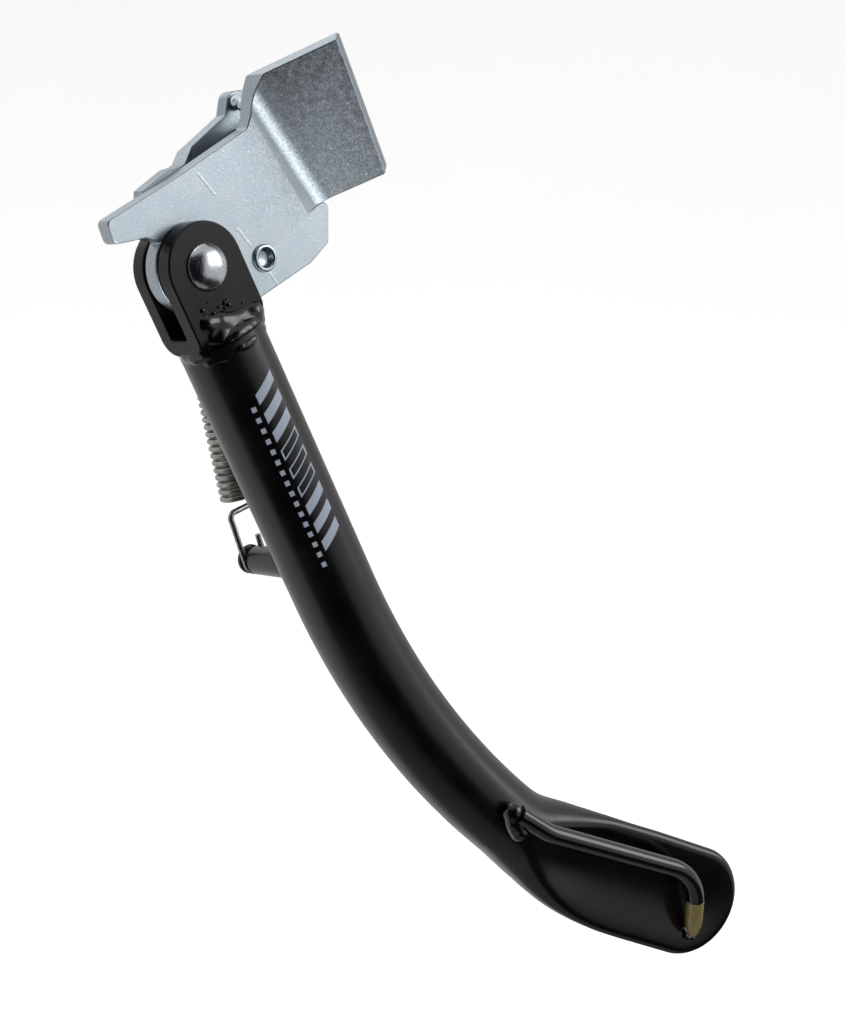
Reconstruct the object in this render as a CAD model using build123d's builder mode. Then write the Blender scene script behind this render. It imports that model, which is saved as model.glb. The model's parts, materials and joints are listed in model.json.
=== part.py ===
"""Spring-return kickstand: a bent tube leg with a flattened foot and a tang, hung in a
folded steel bracket by a rivet and pulled back to its stop by an extension spring.

Millimetres. +X right, +Z up, and the rivet head faces -Y. The origin is the mouth of the
upper frame bolt's hole in the rear plate. The leg is at rest against its stop.
"""
import os
from math import acos, atan2, cos, degrees, hypot, radians, sin

from build123d import *

os.makedirs("parts", exist_ok=True)

# --- Frame bolts: M8 weld nuts, placed from the pivot (right, up) -----------------------
UPPER_BOLT = (31.0, 36.0)
LOWER_BOLT = (34.0, 13.0)
NUT_FLATS = 13.0
NUT_HEIGHT = 6.5
NUT_SPIGOT_RADIUS = 5.0
THREAD_RADIUS = 3.4

# --- Bracket: y positions are measured back from the leg's middle plane ------------------
PLATE = 5.0  # thickness of the folded plate
REAR_PLATE = 4.5
REAR_GAP = 9.0  # behind the folded plate, where the nuts sit
REAR_TOP = (22.8, 50.2)  # corners of the rear plate's outline
REAR_SIDE = (44.0, 36.0)
REAR_LOW = (17.0, -4.0)
REAR_WELD = (25.0, 46.2)
REAR_WELD_LENGTH = 6.4
REAR_WELD_WIDTH = 4.2
CRANK_START = 0.0  # right of the pivot, where the rear plate starts to step back
CRANK_END = 10.0
REAR_FACE = PLATE / 2 + REAR_GAP + REAR_PLATE
PIVOT = Vector(-UPPER_BOLT[0], -REAR_FACE, -UPPER_BOLT[1])
PLATE_CORNER = 1.8
TONGUE_TIP = (-28.0, 11.3)  # corners of the plate's outline, from the pivot
TONGUE_LOW = (-25.4, 5.3)
EDGE_HIGH = (47.8, 21.5)
EDGE_LOW = (47.8, 8.4)
LOBE_RADIUS = 12.5
FOLD_START = (30.8, 30.0)  # a point on the line where the fold begins
FOLD_SLOPE = -48.7  # direction of the fold line, degrees from +X
FOLD_ANGLE = 55.0
FOLD_RADIUS = 6.0  # inside the fold
FOLD_LOWER_END = 17.0  # from FOLD_START along the fold line
FOLD_UPPER_END = 24.7
FLANGE_LOW_CORNER = (17.5, 18.5)  # along and up the flange
FLANGE_HIGH_CORNER = (-24.0, 27.0)
FLANGE_ROUNDING = 0.8
SECTOR = 30.0  # longer than the fold is thick, to cut its arc from a ring
FOLD_CORNER = -16.5  # where the plate's upright left edge meets the fold line

# --- Leg -------------------------------------------------------------------------------
LEG_ANGLE = 29.0  # from straight down, in the plate's plane
TUBE_RADIUS = 12.5
TUBE_WALL = 2.0
TUBE_TOP = 21.0  # from the pivot along the leg
STRAIGHT_END = 106.0
BEND_TWIST = 16.0  # the bend's plane is turned this far towards the front
MAIN_BEND_RADIUS = 258.0
MAIN_BEND_LENGTH = 114.0
FOOT_BEND_RADIUS = 125.0
FOOT_BEND_LENGTH = 32.5
FOOT_WIDTH = 38.0
FOOT_THICKNESS = 4.8
FOOT_STRAIGHT = 40.5  # from the end of the bends to the centre of the round end
DISH_DEPTH = 0.9
DISH_WIDTH = 31.0

# --- Clevis at the top of the leg --------------------------------------------------------
EAR = 5.0
SLOT = 7.0
EAR_FACE = SLOT / 2 + EAR  # outer face, from the middle plane
SLOT_FLOOR = 16.0  # from the pivot along the leg
STOP_GAP = 0.3
SHOULDER_DEPTH = 18.0

# --- Pivot -------------------------------------------------------------------------------
SHANK_RADIUS = 4.5
RUNNING_GAP = 0.06
BUSH_RADIUS = 6.5
RIVET_HEAD_RADIUS = 6.6
RIVET_HEAD_HEIGHT = 3.2
RIVET_TAIL_RADIUS = 6.0
RIVET_TAIL_HEIGHT = 2.2
WASHER_RADIUS = 10.5
WASHER = 0.8

# --- Spring, its anchor pin on the bracket and its peg on the leg -------------------------
ANCHOR = (24.3, 3.2)
ANCHOR_RADIUS = 3.5
ANCHOR_RIM = 0.5  # the rolled front rim, beyond the pin's radius
ANCHOR_RIM_HEIGHT = 2.0
ANCHOR_BORE_RADIUS = 2.45
ANCHOR_BORE_DEPTH = 4.0
ANCHOR_GROOVE_RADIUS = 2.7
PEG_ALONG = 98.5
PEG_RADIUS = 4.5
PEG_GROOVE_RADIUS = 2.4
SPRING_PLANE = 33.1
GROOVE_HALF = 1.5
PIN_END = 2.2  # collar beyond the groove
WIRE_RADIUS = 0.9
COIL_RADIUS = 6.5  # outside
HOOK_CLEARANCE = 0.35
HOOK_LENGTH = 19.3  # from a pin's centre to the coil
HOOK_SWEEP = 180.0  # round the pin
HOOK_END = 6.8  # straight, beyond the pin

# --- Tang: along the foot, up across it and out from its face -----------------------------
ROD_RADIUS = 3.0
TANG_START = (-50.0, 12.5, 15.1)
TANG_KNEE = (-36.0, 9.8, 14.9)
TANG_CORNER = (30.0, 11.2, 11.2)
TANG_TIP = (44.5, -10.6, 4.6)
TANG_WELD = (-48.6, 9.4, 15.2)
TANG_WELD_RADIUS = 4.3
TANG_TAPER = 9.0  # length of the tapered tip
TANG_TIP_RADIUS = 1.3
KNEE_RADIUS = 24.0
CORNER_RADIUS = 22.0


def facing(y):
    """Parallel to the bracket plate: local x right, local y up, normal to the front."""
    return Plane(origin=PIVOT + Vector(0, y, 0), x_dir=(1, 0, 0), z_dir=(0, -1, 0))


def turned(centre, angle):
    """As facing, turned anticlockwise about a point (right, back, up) from the pivot."""
    turn = radians(angle)
    return Plane(
        origin=PIVOT + Vector(*centre), x_dir=(cos(turn), 0, sin(turn)), z_dir=(0, -1, 0)
    )


def on_leg(across, along):
    """A point of the plate's plane from its distances across and down the leg."""
    turn = radians(LEG_ANGLE)
    return (across * cos(turn) + along * sin(turn), across * sin(turn) - along * cos(turn))


def save(part, name):
    part.label = name
    export_step(part, f"parts/{name}.step")


# --- Bracket plate: one flat plate with a flange folded forward ---------------------------
fold_turn = radians(FOLD_SLOPE)
fold_along = Vector(cos(fold_turn), 0, sin(fold_turn))
fold_across = Vector(-sin(fold_turn), 0, cos(fold_turn))
fold_base = PIVOT + Vector(FOLD_START[0], -PLATE / 2, FOLD_START[1])


def on_fold(distance):
    """A point of the fold line, from its distance along the line."""
    x, z = FOLD_START
    return (x + distance * cos(fold_turn), z + distance * sin(fold_turn))


corner_x, corner_z = on_fold(FOLD_CORNER)
fold = radians(FOLD_ANGLE)
flange_up = fold_across * cos(fold) + Vector(0, -1, 0) * sin(fold)
flange_base = fold_base + fold_across * (FOLD_RADIUS * sin(fold))
flange_base = flange_base + Vector(0, -1, 0) * (FOLD_RADIUS * (1 - cos(fold)))
flange_plane = Plane(origin=flange_base, x_dir=fold_along, z_dir=fold_along.cross(flange_up))
fold_section = Plane(
    origin=fold_base + fold_along * FOLD_LOWER_END, x_dir=fold_across, z_dir=fold_along
)
to_front = 1 if fold_section.y_dir.Y < 0 else -1

with BuildPart() as bracket_plate:
    with BuildSketch(facing(PLATE / 2)):
        with BuildLine():
            lobe_left = (LOBE_RADIUS * cos(radians(150)), LOBE_RADIUS * sin(radians(150)))
            lobe_low = on_leg(0, LOBE_RADIUS)
            Polyline(
                lobe_left,
                (-15.5, 7.4),
                TONGUE_LOW,
                TONGUE_TIP,
                (-5.0, 24.3),
                (18.4, 38.6),
                on_fold(FOLD_CORNER),
                on_fold(FOLD_LOWER_END),
                EDGE_HIGH,
                EDGE_LOW,
                (41.4, 2.4),
                on_leg(17.0, SHOULDER_DEPTH),
                on_leg(TUBE_RADIUS + STOP_GAP, SHOULDER_DEPTH),
                on_leg(TUBE_RADIUS + STOP_GAP, LOBE_RADIUS),
                lobe_low,
            )
            ThreePointArc(lobe_low, (-LOBE_RADIUS, 0), lobe_left)
        make_face()
        shoulder = on_leg(TUBE_RADIUS + STOP_GAP, LOBE_RADIUS)
        notch = [v for v in vertices() if hypot(v.X - shoulder[0], v.Y - shoulder[1]) < 0.1]
        fillet(notch, 3.0)
        for corner in (TONGUE_LOW, TONGUE_TIP, EDGE_HIGH, EDGE_LOW):
            found = [v for v in vertices() if hypot(v.X - corner[0], v.Y - corner[1]) < 0.1]
            fillet(found, PLATE_CORNER)
    extrude(amount=PLATE)
    with BuildSketch(fold_section):
        with Locations((0, to_front * FOLD_RADIUS)):
            Circle(FOLD_RADIUS + PLATE)
            Circle(FOLD_RADIUS, mode=Mode.SUBTRACT)
        with BuildLine():
            Polyline(
                (0, to_front * FOLD_RADIUS),
                (0, to_front * (FOLD_RADIUS - SECTOR)),
                (SECTOR * sin(fold / 2), to_front * (FOLD_RADIUS - SECTOR * cos(fold / 2))),
                (SECTOR * sin(fold), to_front * (FOLD_RADIUS - SECTOR * cos(fold))),
                close=True,
            )
        make_face(mode=Mode.INTERSECT)
    extrude(amount=-(FOLD_LOWER_END + FOLD_UPPER_END))
    with BuildSketch(flange_plane):
        with BuildLine():
            Polyline(
                (FOLD_LOWER_END, 0),
                FLANGE_LOW_CORNER,
                FLANGE_HIGH_CORNER,
                (-FOLD_UPPER_END, 0),
                close=True,
            )
        make_face()
        fillet(vertices().sort_by(Axis.Y)[-2:], FLANGE_ROUNDING)
    extrude(amount=-PLATE)
    with BuildSketch(facing(20)):
        with Locations((corner_x, corner_z)):
            Rectangle(30, 30, align=(Align.MAX, Align.MIN))
    extrude(amount=60, mode=Mode.SUBTRACT)
    with Locations(facing(0)):
        Cylinder(BUSH_RADIUS, 3 * PLATE, mode=Mode.SUBTRACT)
        with Locations(ANCHOR):
            Cylinder(ANCHOR_RADIUS, 3 * PLATE, mode=Mode.SUBTRACT)
save(bracket_plate.part, "bracket_plate")

# --- Rear plate: cranked back behind the folded plate to make room for the nuts -----------
with BuildPart() as rear_plate:
    with BuildSketch(facing(REAR_FACE)):
        with BuildLine():
            Polyline(
                (-13.0, 14.0),
                (-13.0, 20.3),
                (-4.5, 26.4),
                (2.6, 28.5),
                (21.6, 43.6),
                REAR_TOP,
                (29.0, 51.5),
                REAR_SIDE,
                (44.0, 3.0),
                (36.0, -4.0),
                REAR_LOW,
                (17.0, 14.0),
                close=True,
            )
        make_face()
        for corner, radius in {REAR_TOP: 3.0, REAR_SIDE: 6.0, REAR_LOW: 3.0}.items():
            found = [v for v in vertices() if hypot(v.X - corner[0], v.Y - corner[1]) < 0.1]
            fillet(found, radius)
    extrude(amount=REAR_GAP + REAR_PLATE)
    near, far = PLATE / 2, PLATE / 2 + REAR_GAP
    with BuildSketch(Plane(origin=PIVOT)):
        with BuildLine():
            Polyline(
                (-20, near),
                (CRANK_START, near),
                (CRANK_END, far),
                (50, far),
                (50, far + REAR_PLATE),
                (CRANK_END - 2, far + REAR_PLATE),
                (CRANK_START - 2, near + REAR_PLATE),
                (-20, near + REAR_PLATE),
                close=True,
            )
        make_face()
    extrude(amount=80, both=True, mode=Mode.INTERSECT)
    with Locations(facing(REAR_FACE)):
        with Locations(UPPER_BOLT, LOWER_BOLT):
            Cylinder(NUT_SPIGOT_RADIUS, 3 * REAR_PLATE, mode=Mode.SUBTRACT)
        with Locations(ANCHOR):
            Cylinder(ANCHOR_RADIUS, 3 * REAR_PLATE, mode=Mode.SUBTRACT)
save(rear_plate.part, "rear_plate")

with BuildPart() as rear_plate_weld:
    with BuildSketch(facing(PLATE / 2 + REAR_GAP)):
        with Locations(REAR_WELD):
            SlotOverall(REAR_WELD_LENGTH, REAR_WELD_WIDTH, rotation=80)
    extrude(amount=REAR_GAP + 2)
    add(bracket_plate.part, mode=Mode.SUBTRACT)
save(rear_plate_weld.part, "rear_plate_weld")

with BuildPart() as frame_nuts:
    with BuildSketch(facing(PLATE / 2 + REAR_GAP)):
        with Locations(UPPER_BOLT, LOWER_BOLT):
            RegularPolygon(NUT_FLATS / 2, 6, major_radius=False)
    extrude(amount=NUT_HEIGHT)
    with BuildSketch(facing(REAR_FACE)):
        with Locations(UPPER_BOLT, LOWER_BOLT):
            Circle(NUT_SPIGOT_RADIUS)
    extrude(amount=REAR_PLATE)
    with Locations(facing(PLATE / 2 + REAR_GAP)):
        with Locations(UPPER_BOLT, LOWER_BOLT):
            Cylinder(THREAD_RADIUS, 60, mode=Mode.SUBTRACT)
save(frame_nuts.part, "frame_nuts")

with BuildPart() as pivot_bush:
    with BuildSketch(facing(PLATE / 2)):
        Circle(BUSH_RADIUS)
        Circle(SHANK_RADIUS + RUNNING_GAP, mode=Mode.SUBTRACT)
    extrude(amount=PLATE)
save(pivot_bush.part, "pivot_bush")

with BuildPart() as spring_anchor_pin:
    with Locations(facing(SPRING_PLANE + GROOVE_HALF + PIN_END)):
        with Locations(ANCHOR):
            Cylinder(ANCHOR_RADIUS, PIN_END, align=(Align.CENTER, Align.CENTER, Align.MIN))
    fillet(faces().sort_by(Axis.Y)[-1].edges(), 0.8)
    with BuildSketch(facing(SPRING_PLANE + GROOVE_HALF)):
        with Locations(ANCHOR):
            Circle(ANCHOR_GROOVE_RADIUS)
    extrude(amount=2 * GROOVE_HALF)
    with BuildSketch(facing(SPRING_PLANE - GROOVE_HALF)):
        with Locations(ANCHOR):
            Circle(ANCHOR_RADIUS)
    extrude(amount=SPRING_PLANE - GROOVE_HALF + PLATE / 2)
    with BuildSketch(facing(-PLATE / 2)):
        with Locations(ANCHOR):
            Circle(ANCHOR_RADIUS + ANCHOR_RIM)
    extrude(amount=ANCHOR_RIM_HEIGHT)
    fillet(faces().sort_by(Axis.Y)[0].edges(), ANCHOR_RIM)
    with BuildSketch(facing(-PLATE / 2 - ANCHOR_RIM_HEIGHT)):
        with Locations(ANCHOR):
            Circle(ANCHOR_BORE_RADIUS)
    extrude(amount=-ANCHOR_BORE_DEPTH, mode=Mode.SUBTRACT)
save(spring_anchor_pin.part, "spring_anchor_pin")

# --- Leg clevis: a strap bent to a U, its ears rounded about the pivot ---------------------
leg_turn = radians(LEG_ANGLE)
leg_side = Plane(origin=PIVOT, x_dir=(0, 1, 0), z_dir=(cos(leg_turn), 0, sin(leg_turn)))

with BuildPart() as leg_clevis:
    with BuildSketch(leg_side):
        with Locations((0, -TUBE_TOP)):
            Rectangle(2 * EAR_FACE, TUBE_TOP + TUBE_RADIUS, align=(Align.CENTER, Align.MIN))
        fillet(vertices().group_by(Axis.Y)[0], 5.0)
        with Locations((0, -SLOT_FLOOR)):
            Rectangle(SLOT, 40, align=(Align.CENTER, Align.MIN), mode=Mode.SUBTRACT)
        fillet([v for v in vertices() if hypot(abs(v.X) - SLOT / 2, v.Y + SLOT_FLOOR) < 0.1], 0.9)
    extrude(amount=TUBE_RADIUS, both=True)
    with BuildSketch(turned((0, EAR_FACE, 0), LEG_ANGLE)):
        Circle(TUBE_RADIUS)
        Rectangle(2 * TUBE_RADIUS, TUBE_TOP, align=(Align.CENTER, Align.MAX))
    extrude(amount=2 * EAR_FACE, mode=Mode.INTERSECT)
    with Locations(facing(0)):
        Cylinder(SHANK_RADIUS, 4 * EAR_FACE, mode=Mode.SUBTRACT)
save(leg_clevis.part, "leg_clevis")

# --- Leg tube: straight, bent twice in one plane, then pressed flat to a dished foot -------
twist = radians(BEND_TWIST)
leg_down = Vector(sin(leg_turn), 0, -cos(leg_turn))
bend_side = Vector(cos(leg_turn), 0, sin(leg_turn)) * cos(twist) + Vector(0, -sin(twist), 0)
foot_normal = leg_down.cross(bend_side)
bend_plane = Plane(origin=PIVOT, x_dir=bend_side, z_dir=foot_normal)

with BuildLine(bend_plane) as leg_line:
    straight = Line((0, -TUBE_TOP), (0, -STRAIGHT_END))
    main_bend = JernArc(
        straight @ 1, straight % 1, MAIN_BEND_RADIUS, degrees(MAIN_BEND_LENGTH / MAIN_BEND_RADIUS)
    )
foot_bend_angle = FOOT_BEND_LENGTH / FOOT_BEND_RADIUS
with BuildLine(bend_plane) as foot_line:
    foot_bend = JernArc(main_bend @ 1, main_bend % 1, FOOT_BEND_RADIUS, degrees(foot_bend_angle))


def across_leg(line, at):
    """The plane square to a centreline: local x in the bend's plane, local y out of it."""
    return Plane(origin=line @ at, x_dir=(line % at).cross(foot_normal), z_dir=line % at)


foot_along = foot_bend % 1
foot_up = foot_normal.cross(foot_along)
foot_face = Plane(origin=foot_bend @ 1, x_dir=foot_along, z_dir=foot_normal)
flattening = {0.0: (25.0, 25.0), 0.35: (29.0, 18.8), 0.7: (34.6, 9.6), 1.0: (38.0, 4.8)}

with BuildPart() as leg_tube:
    with BuildSketch(across_leg(straight, 0)):
        RectangleRounded(2 * TUBE_RADIUS, 2 * TUBE_RADIUS, TUBE_RADIUS - 0.05)
    sweep(path=leg_line.line)
    for at, (width, height) in flattening.items():
        with BuildSketch(across_leg(foot_bend, at)):
            RectangleRounded(width, height, height / 2 - 0.05)
    loft()
    with BuildSketch(across_leg(foot_bend, 1.0)):
        RectangleRounded(FOOT_WIDTH, FOOT_THICKNESS, FOOT_THICKNESS / 2 - 0.05)
    extrude(amount=FOOT_STRAIGHT)
    with BuildSketch(foot_face.offset(-FOOT_THICKNESS / 2)):
        with Locations((FOOT_STRAIGHT, 0)):
            Circle(FOOT_WIDTH / 2)
    extrude(amount=FOOT_THICKNESS)
    dish_radius = DISH_WIDTH**2 / (8 * DISH_DEPTH) + DISH_DEPTH / 2
    dish_centre = FOOT_THICKNESS / 2 - DISH_DEPTH + dish_radius
    with BuildSketch(across_leg(foot_bend, 1.0).offset(-4)):
        with Locations((0, dish_centre * (1 if across_leg(foot_bend, 1.0).y_dir.Y < 0 else -1))):
            Circle(dish_radius)
    extrude(amount=FOOT_STRAIGHT + 14, mode=Mode.SUBTRACT)
    with BuildSketch(across_leg(straight, 0)):
        Circle(TUBE_RADIUS - TUBE_WALL)
    sweep(path=leg_line.line, mode=Mode.SUBTRACT)
save(leg_tube.part, "leg_tube")

with BuildPart() as clevis_weld:
    with BuildSketch(leg_side):
        with BuildLine():
            Polyline(
                (0, -TUBE_TOP),
                (0, 1.4 - TUBE_TOP),
                (12.9, 1.4 - TUBE_TOP),
                (13.7, -TUBE_TOP - 0.4),
                (13.5, -TUBE_TOP - 2.2),
                (TUBE_RADIUS, -TUBE_TOP - 4.2),
                (TUBE_RADIUS, -TUBE_TOP),
                close=True,
            )
        make_face()
    revolve(axis=Axis(origin=PIVOT, direction=leg_down))
    add(leg_clevis.part, mode=Mode.SUBTRACT)
save(clevis_weld.part, "clevis_weld")

# --- Pivot rivet and thrust washers --------------------------------------------------------
with BuildPart() as pivot_rivet:
    with BuildSketch(facing(EAR_FACE)):
        Circle(SHANK_RADIUS)
    extrude(amount=2 * EAR_FACE)
    with BuildSketch(facing(-EAR_FACE)):
        Circle(RIVET_HEAD_RADIUS)
    extrude(amount=RIVET_HEAD_HEIGHT)
    fillet(faces().sort_by(Axis.Y)[0].edges(), 2.6)
    with BuildSketch(facing(EAR_FACE)):
        Circle(RIVET_TAIL_RADIUS)
    extrude(amount=-RIVET_TAIL_HEIGHT)
    fillet(faces().sort_by(Axis.Y)[-1].edges(), 1.6)
save(pivot_rivet.part, "pivot_rivet")

washer_gap = (SLOT - PLATE) / 2 - WASHER
for name, y in {
    "front_thrust_washer": -SLOT / 2 + washer_gap / 2 + WASHER,
    "rear_thrust_washer": SLOT / 2 - washer_gap / 2,
}.items():
    with BuildPart() as thrust_washer:
        with BuildSketch(facing(y)):
            Circle(WASHER_RADIUS)
            Circle(SHANK_RADIUS + RUNNING_GAP, mode=Mode.SUBTRACT)
        extrude(amount=WASHER)
    save(thrust_washer.part, name)

# --- Spring peg on the back of the leg -----------------------------------------------------
PEG = on_leg(0, PEG_ALONG)
with BuildPart() as spring_peg:
    with BuildSketch(facing(SPRING_PLANE + GROOVE_HALF + PIN_END)):
        with Locations(PEG):
            Circle(PEG_RADIUS)
    extrude(amount=PIN_END)
    fillet(faces().sort_by(Axis.Y)[-1].edges(), 1.4)
    with BuildSketch(facing(SPRING_PLANE + GROOVE_HALF)):
        with Locations(PEG):
            Circle(PEG_GROOVE_RADIUS)
    extrude(amount=2 * GROOVE_HALF)
    with BuildSketch(facing(SPRING_PLANE - GROOVE_HALF)):
        with Locations(PEG):
            Circle(PEG_RADIUS)
    extrude(amount=SPRING_PLANE - GROOVE_HALF - TUBE_RADIUS + 1.5)
    add(leg_tube.part, mode=Mode.SUBTRACT)
save(spring_peg.part, "spring_peg")

with BuildPart() as peg_weld:
    with Locations(facing(TUBE_RADIUS + 1.8)):
        with Locations(PEG):
            Cone(
                PEG_RADIUS + 2.6,
                PEG_RADIUS + 0.3,
                3.4,
                rotation=(180, 0, 0),
                align=(Align.CENTER, Align.CENTER, Align.MAX),
            )
    add(leg_tube.part, mode=Mode.SUBTRACT)
    add(spring_peg.part, mode=Mode.SUBTRACT)
save(peg_weld.part, "peg_weld")

# --- Tang rod and its welds ----------------------------------------------------------------
def on_foot(point):
    """A point from its distances along the foot, up across it and out from its face."""
    along, up, out = point
    return foot_bend @ 1 + foot_along * along + foot_up * up + foot_normal * out


tip = on_foot(TANG_TIP)
corner = on_foot(TANG_CORNER)
tip_direction = (tip - corner).normalized()
taper_start = tip - tip_direction * TANG_TAPER
with BuildLine() as tang_line:
    FilletPolyline(
        on_foot(TANG_START),
        on_foot(TANG_KNEE),
        corner,
        taper_start,
        radius=[KNEE_RADIUS, CORNER_RADIUS],
    )

with BuildPart() as tang_rod:
    with BuildSketch(Plane(origin=tang_line.line @ 0, z_dir=tang_line.line % 0)):
        Circle(ROD_RADIUS)
    sweep(path=tang_line.line)
    with BuildSketch(Plane(origin=taper_start, z_dir=tip_direction)):
        Circle(ROD_RADIUS)
    with BuildSketch(Plane(origin=taper_start + tip_direction * (TANG_TAPER * 0.6), z_dir=tip_direction)):
        Circle(ROD_RADIUS * 0.78)
    with BuildSketch(Plane(origin=tip, z_dir=tip_direction)):
        Circle(TANG_TIP_RADIUS)
    loft()
    add(leg_tube.part, mode=Mode.SUBTRACT)
save(tang_rod.part, "tang_rod")

with BuildPart() as tang_weld:
    with Locations(Plane(origin=on_foot(TANG_WELD), z_dir=foot_normal)):
        Sphere(TANG_WELD_RADIUS)
    add(leg_tube.part, mode=Mode.SUBTRACT)
    add(tang_rod.part, mode=Mode.SUBTRACT)
save(tang_weld.part, "tang_weld")

with BuildPart() as tang_tip_weld:
    with Locations(Plane(origin=on_foot((45.0, -11.4, -0.4)), z_dir=foot_normal)):
        Sphere(4.4)
    with Locations(foot_face.offset(-4)):
        with Locations((45, -11)):
            Box(20, 20, 8 - 1.8, mode=Mode.SUBTRACT)
    add(leg_tube.part, mode=Mode.SUBTRACT)
    add(tang_rod.part, mode=Mode.SUBTRACT)
save(tang_tip_weld.part, "tang_tip_weld")

# --- Spring: a hook at each end and the closed coil between them ---------------------------
spring_rise = (ANCHOR[0] - PEG[0], ANCHOR[1] - PEG[1])
spring_length = hypot(*spring_rise)
spring_tilt = degrees(atan2(-spring_rise[0], spring_rise[1]))
coil_mean = COIL_RADIUS - WIRE_RADIUS


def spring_plane(pin, turn):
    """At a pin's centre: local y runs along the spring to the coil."""
    return turned((pin[0], SPRING_PLANE, pin[1]), turn)


def hook(plane, groove_radius):
    """Wire from the coil's edge round a pin's groove."""
    bow = groove_radius + HOOK_CLEARANCE + WIRE_RADIUS
    reach = hypot(coil_mean, HOOK_LENGTH)
    leaves = degrees(atan2(HOOK_LENGTH, -coil_mean) + acos(bow / reach))
    with BuildPart() as wire:
        with BuildLine(plane) as path:
            round_pin = CenterArc((0, 0), bow, leaves, HOOK_SWEEP)
            Line((-coil_mean, HOOK_LENGTH - 0.2), round_pin @ 0)
            Line(round_pin @ 1, (round_pin @ 1) + (round_pin % 1) * HOOK_END)
        with BuildSketch(Plane(origin=path.line @ 0, z_dir=path.line % 0)):
            Circle(WIRE_RADIUS)
        sweep(path=path.line)
    return wire.part


save(hook(spring_plane(PEG, spring_tilt), PEG_GROOVE_RADIUS), "spring_lower_hook")
save(hook(spring_plane(ANCHOR, spring_tilt + 180), ANCHOR_GROOVE_RADIUS), "spring_upper_hook")

with BuildPart() as spring_coil:
    coil_end = spring_plane(PEG, spring_tilt)
    with BuildSketch(Plane(origin=coil_end.origin + coil_end.y_dir * HOOK_LENGTH, z_dir=coil_end.y_dir)):
        Circle(COIL_RADIUS)
        Circle(COIL_RADIUS - 2 * WIRE_RADIUS, mode=Mode.SUBTRACT)
    extrude(amount=spring_length - 2 * HOOK_LENGTH)
save(spring_coil.part, "spring_coil")
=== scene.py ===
# %% [markdown]
# # A spring-return kickstand
#
# The object is a kickstand: a black painted tube leg with a flattened foot, hung from a
# zinc plated bracket by a rivet, and pulled back by a coil spring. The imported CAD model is
# the fixed frame. This lesson dresses that frame: each step names a real piece or finish,
# says how it could be made, and makes it in the frame's own place and size, in metres.

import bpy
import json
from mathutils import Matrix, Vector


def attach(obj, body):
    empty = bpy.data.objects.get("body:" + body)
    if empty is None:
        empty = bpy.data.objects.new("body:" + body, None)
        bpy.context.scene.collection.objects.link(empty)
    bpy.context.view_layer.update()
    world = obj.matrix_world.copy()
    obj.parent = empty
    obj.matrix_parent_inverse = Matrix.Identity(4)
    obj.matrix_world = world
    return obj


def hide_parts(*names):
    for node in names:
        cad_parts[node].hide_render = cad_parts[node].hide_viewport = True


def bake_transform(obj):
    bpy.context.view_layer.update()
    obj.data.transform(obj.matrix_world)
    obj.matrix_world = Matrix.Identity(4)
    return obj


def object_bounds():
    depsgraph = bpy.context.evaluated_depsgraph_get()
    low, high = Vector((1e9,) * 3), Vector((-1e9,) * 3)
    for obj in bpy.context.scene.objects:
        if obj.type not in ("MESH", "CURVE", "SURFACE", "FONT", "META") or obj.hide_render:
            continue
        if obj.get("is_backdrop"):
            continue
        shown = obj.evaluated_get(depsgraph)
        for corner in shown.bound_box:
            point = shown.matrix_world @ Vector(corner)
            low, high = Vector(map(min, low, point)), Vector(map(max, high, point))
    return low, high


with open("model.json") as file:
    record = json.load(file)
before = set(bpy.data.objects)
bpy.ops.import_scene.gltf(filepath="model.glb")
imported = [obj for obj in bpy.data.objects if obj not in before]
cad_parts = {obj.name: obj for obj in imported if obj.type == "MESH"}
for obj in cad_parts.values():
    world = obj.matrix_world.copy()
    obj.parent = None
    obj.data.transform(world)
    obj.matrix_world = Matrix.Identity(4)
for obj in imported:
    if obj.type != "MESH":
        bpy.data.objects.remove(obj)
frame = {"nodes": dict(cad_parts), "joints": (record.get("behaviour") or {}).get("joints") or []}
cad_low, cad_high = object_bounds()
print("the CAD box runs from", tuple(cad_low), "to", tuple(cad_high))

# %% Tools and units
import json
from math import acos, atan2, ceil, cos, hypot, pi, radians, sin, sqrt, tan

import bmesh
import bpy
from mathutils import Vector

MM = 0.001  # the frame is in metres, and a workshop drawing is in millimetres
joints = {joint["name"]: joint for joint in frame["joints"]}
PIVOT = Vector(joints["leg_swing"]["pos_m"])
PEG = Vector(joints["spring_tilt"]["pos_m"])
SPRING_AXIS = Vector(joints["spring_stretch"]["axis"])
RIGHT, BACK, UP = Vector((1, 0, 0)), Vector((0, 1, 0)), Vector((0, 0, 1))
print("the leg turns about", tuple(PIVOT), "and the spring pulls from", tuple(PEG))

# %% [markdown]
# ## Helpers for meshes
#
# Most pieces here are turned, swept or lofted, so they are rings of points joined by
# faces. One helper joins rings, and another closes the mesh, points its faces outwards and
# marks its sharp edges. A third rounds the corners of a path, for profiles and for wire.

# %% A mesh from rings of points
def finished_mesh(name, points, faces, sharp=35):
    """A piece with merged doubles, outward faces and smooth shading up to an angle."""
    mesh = bpy.data.meshes.new(name)
    shape = bmesh.new()
    corners = [shape.verts.new(point) for point in points]
    for face in faces:
        if len(set(face)) > 2:
            shape.faces.new([corners[index] for index in face])
    bmesh.ops.remove_doubles(shape, verts=shape.verts, dist=0.002 * MM)
    bmesh.ops.dissolve_degenerate(shape, edges=shape.edges, dist=0.001 * MM)
    bmesh.ops.recalc_face_normals(shape, faces=shape.faces)
    shape.to_mesh(mesh)
    shape.free()
    return smooth_piece(name, mesh, sharp)


def smooth_piece(name, mesh, sharp=35):
    """An object at the origin for a mesh, shaded smooth except across sharp edges."""
    mesh.polygons.foreach_set("use_smooth", [True] * len(mesh.polygons))
    mesh.set_sharp_from_angle(angle=radians(sharp))
    piece = bpy.data.objects.new(name, mesh)
    bpy.context.scene.collection.objects.link(piece)
    return piece


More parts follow.
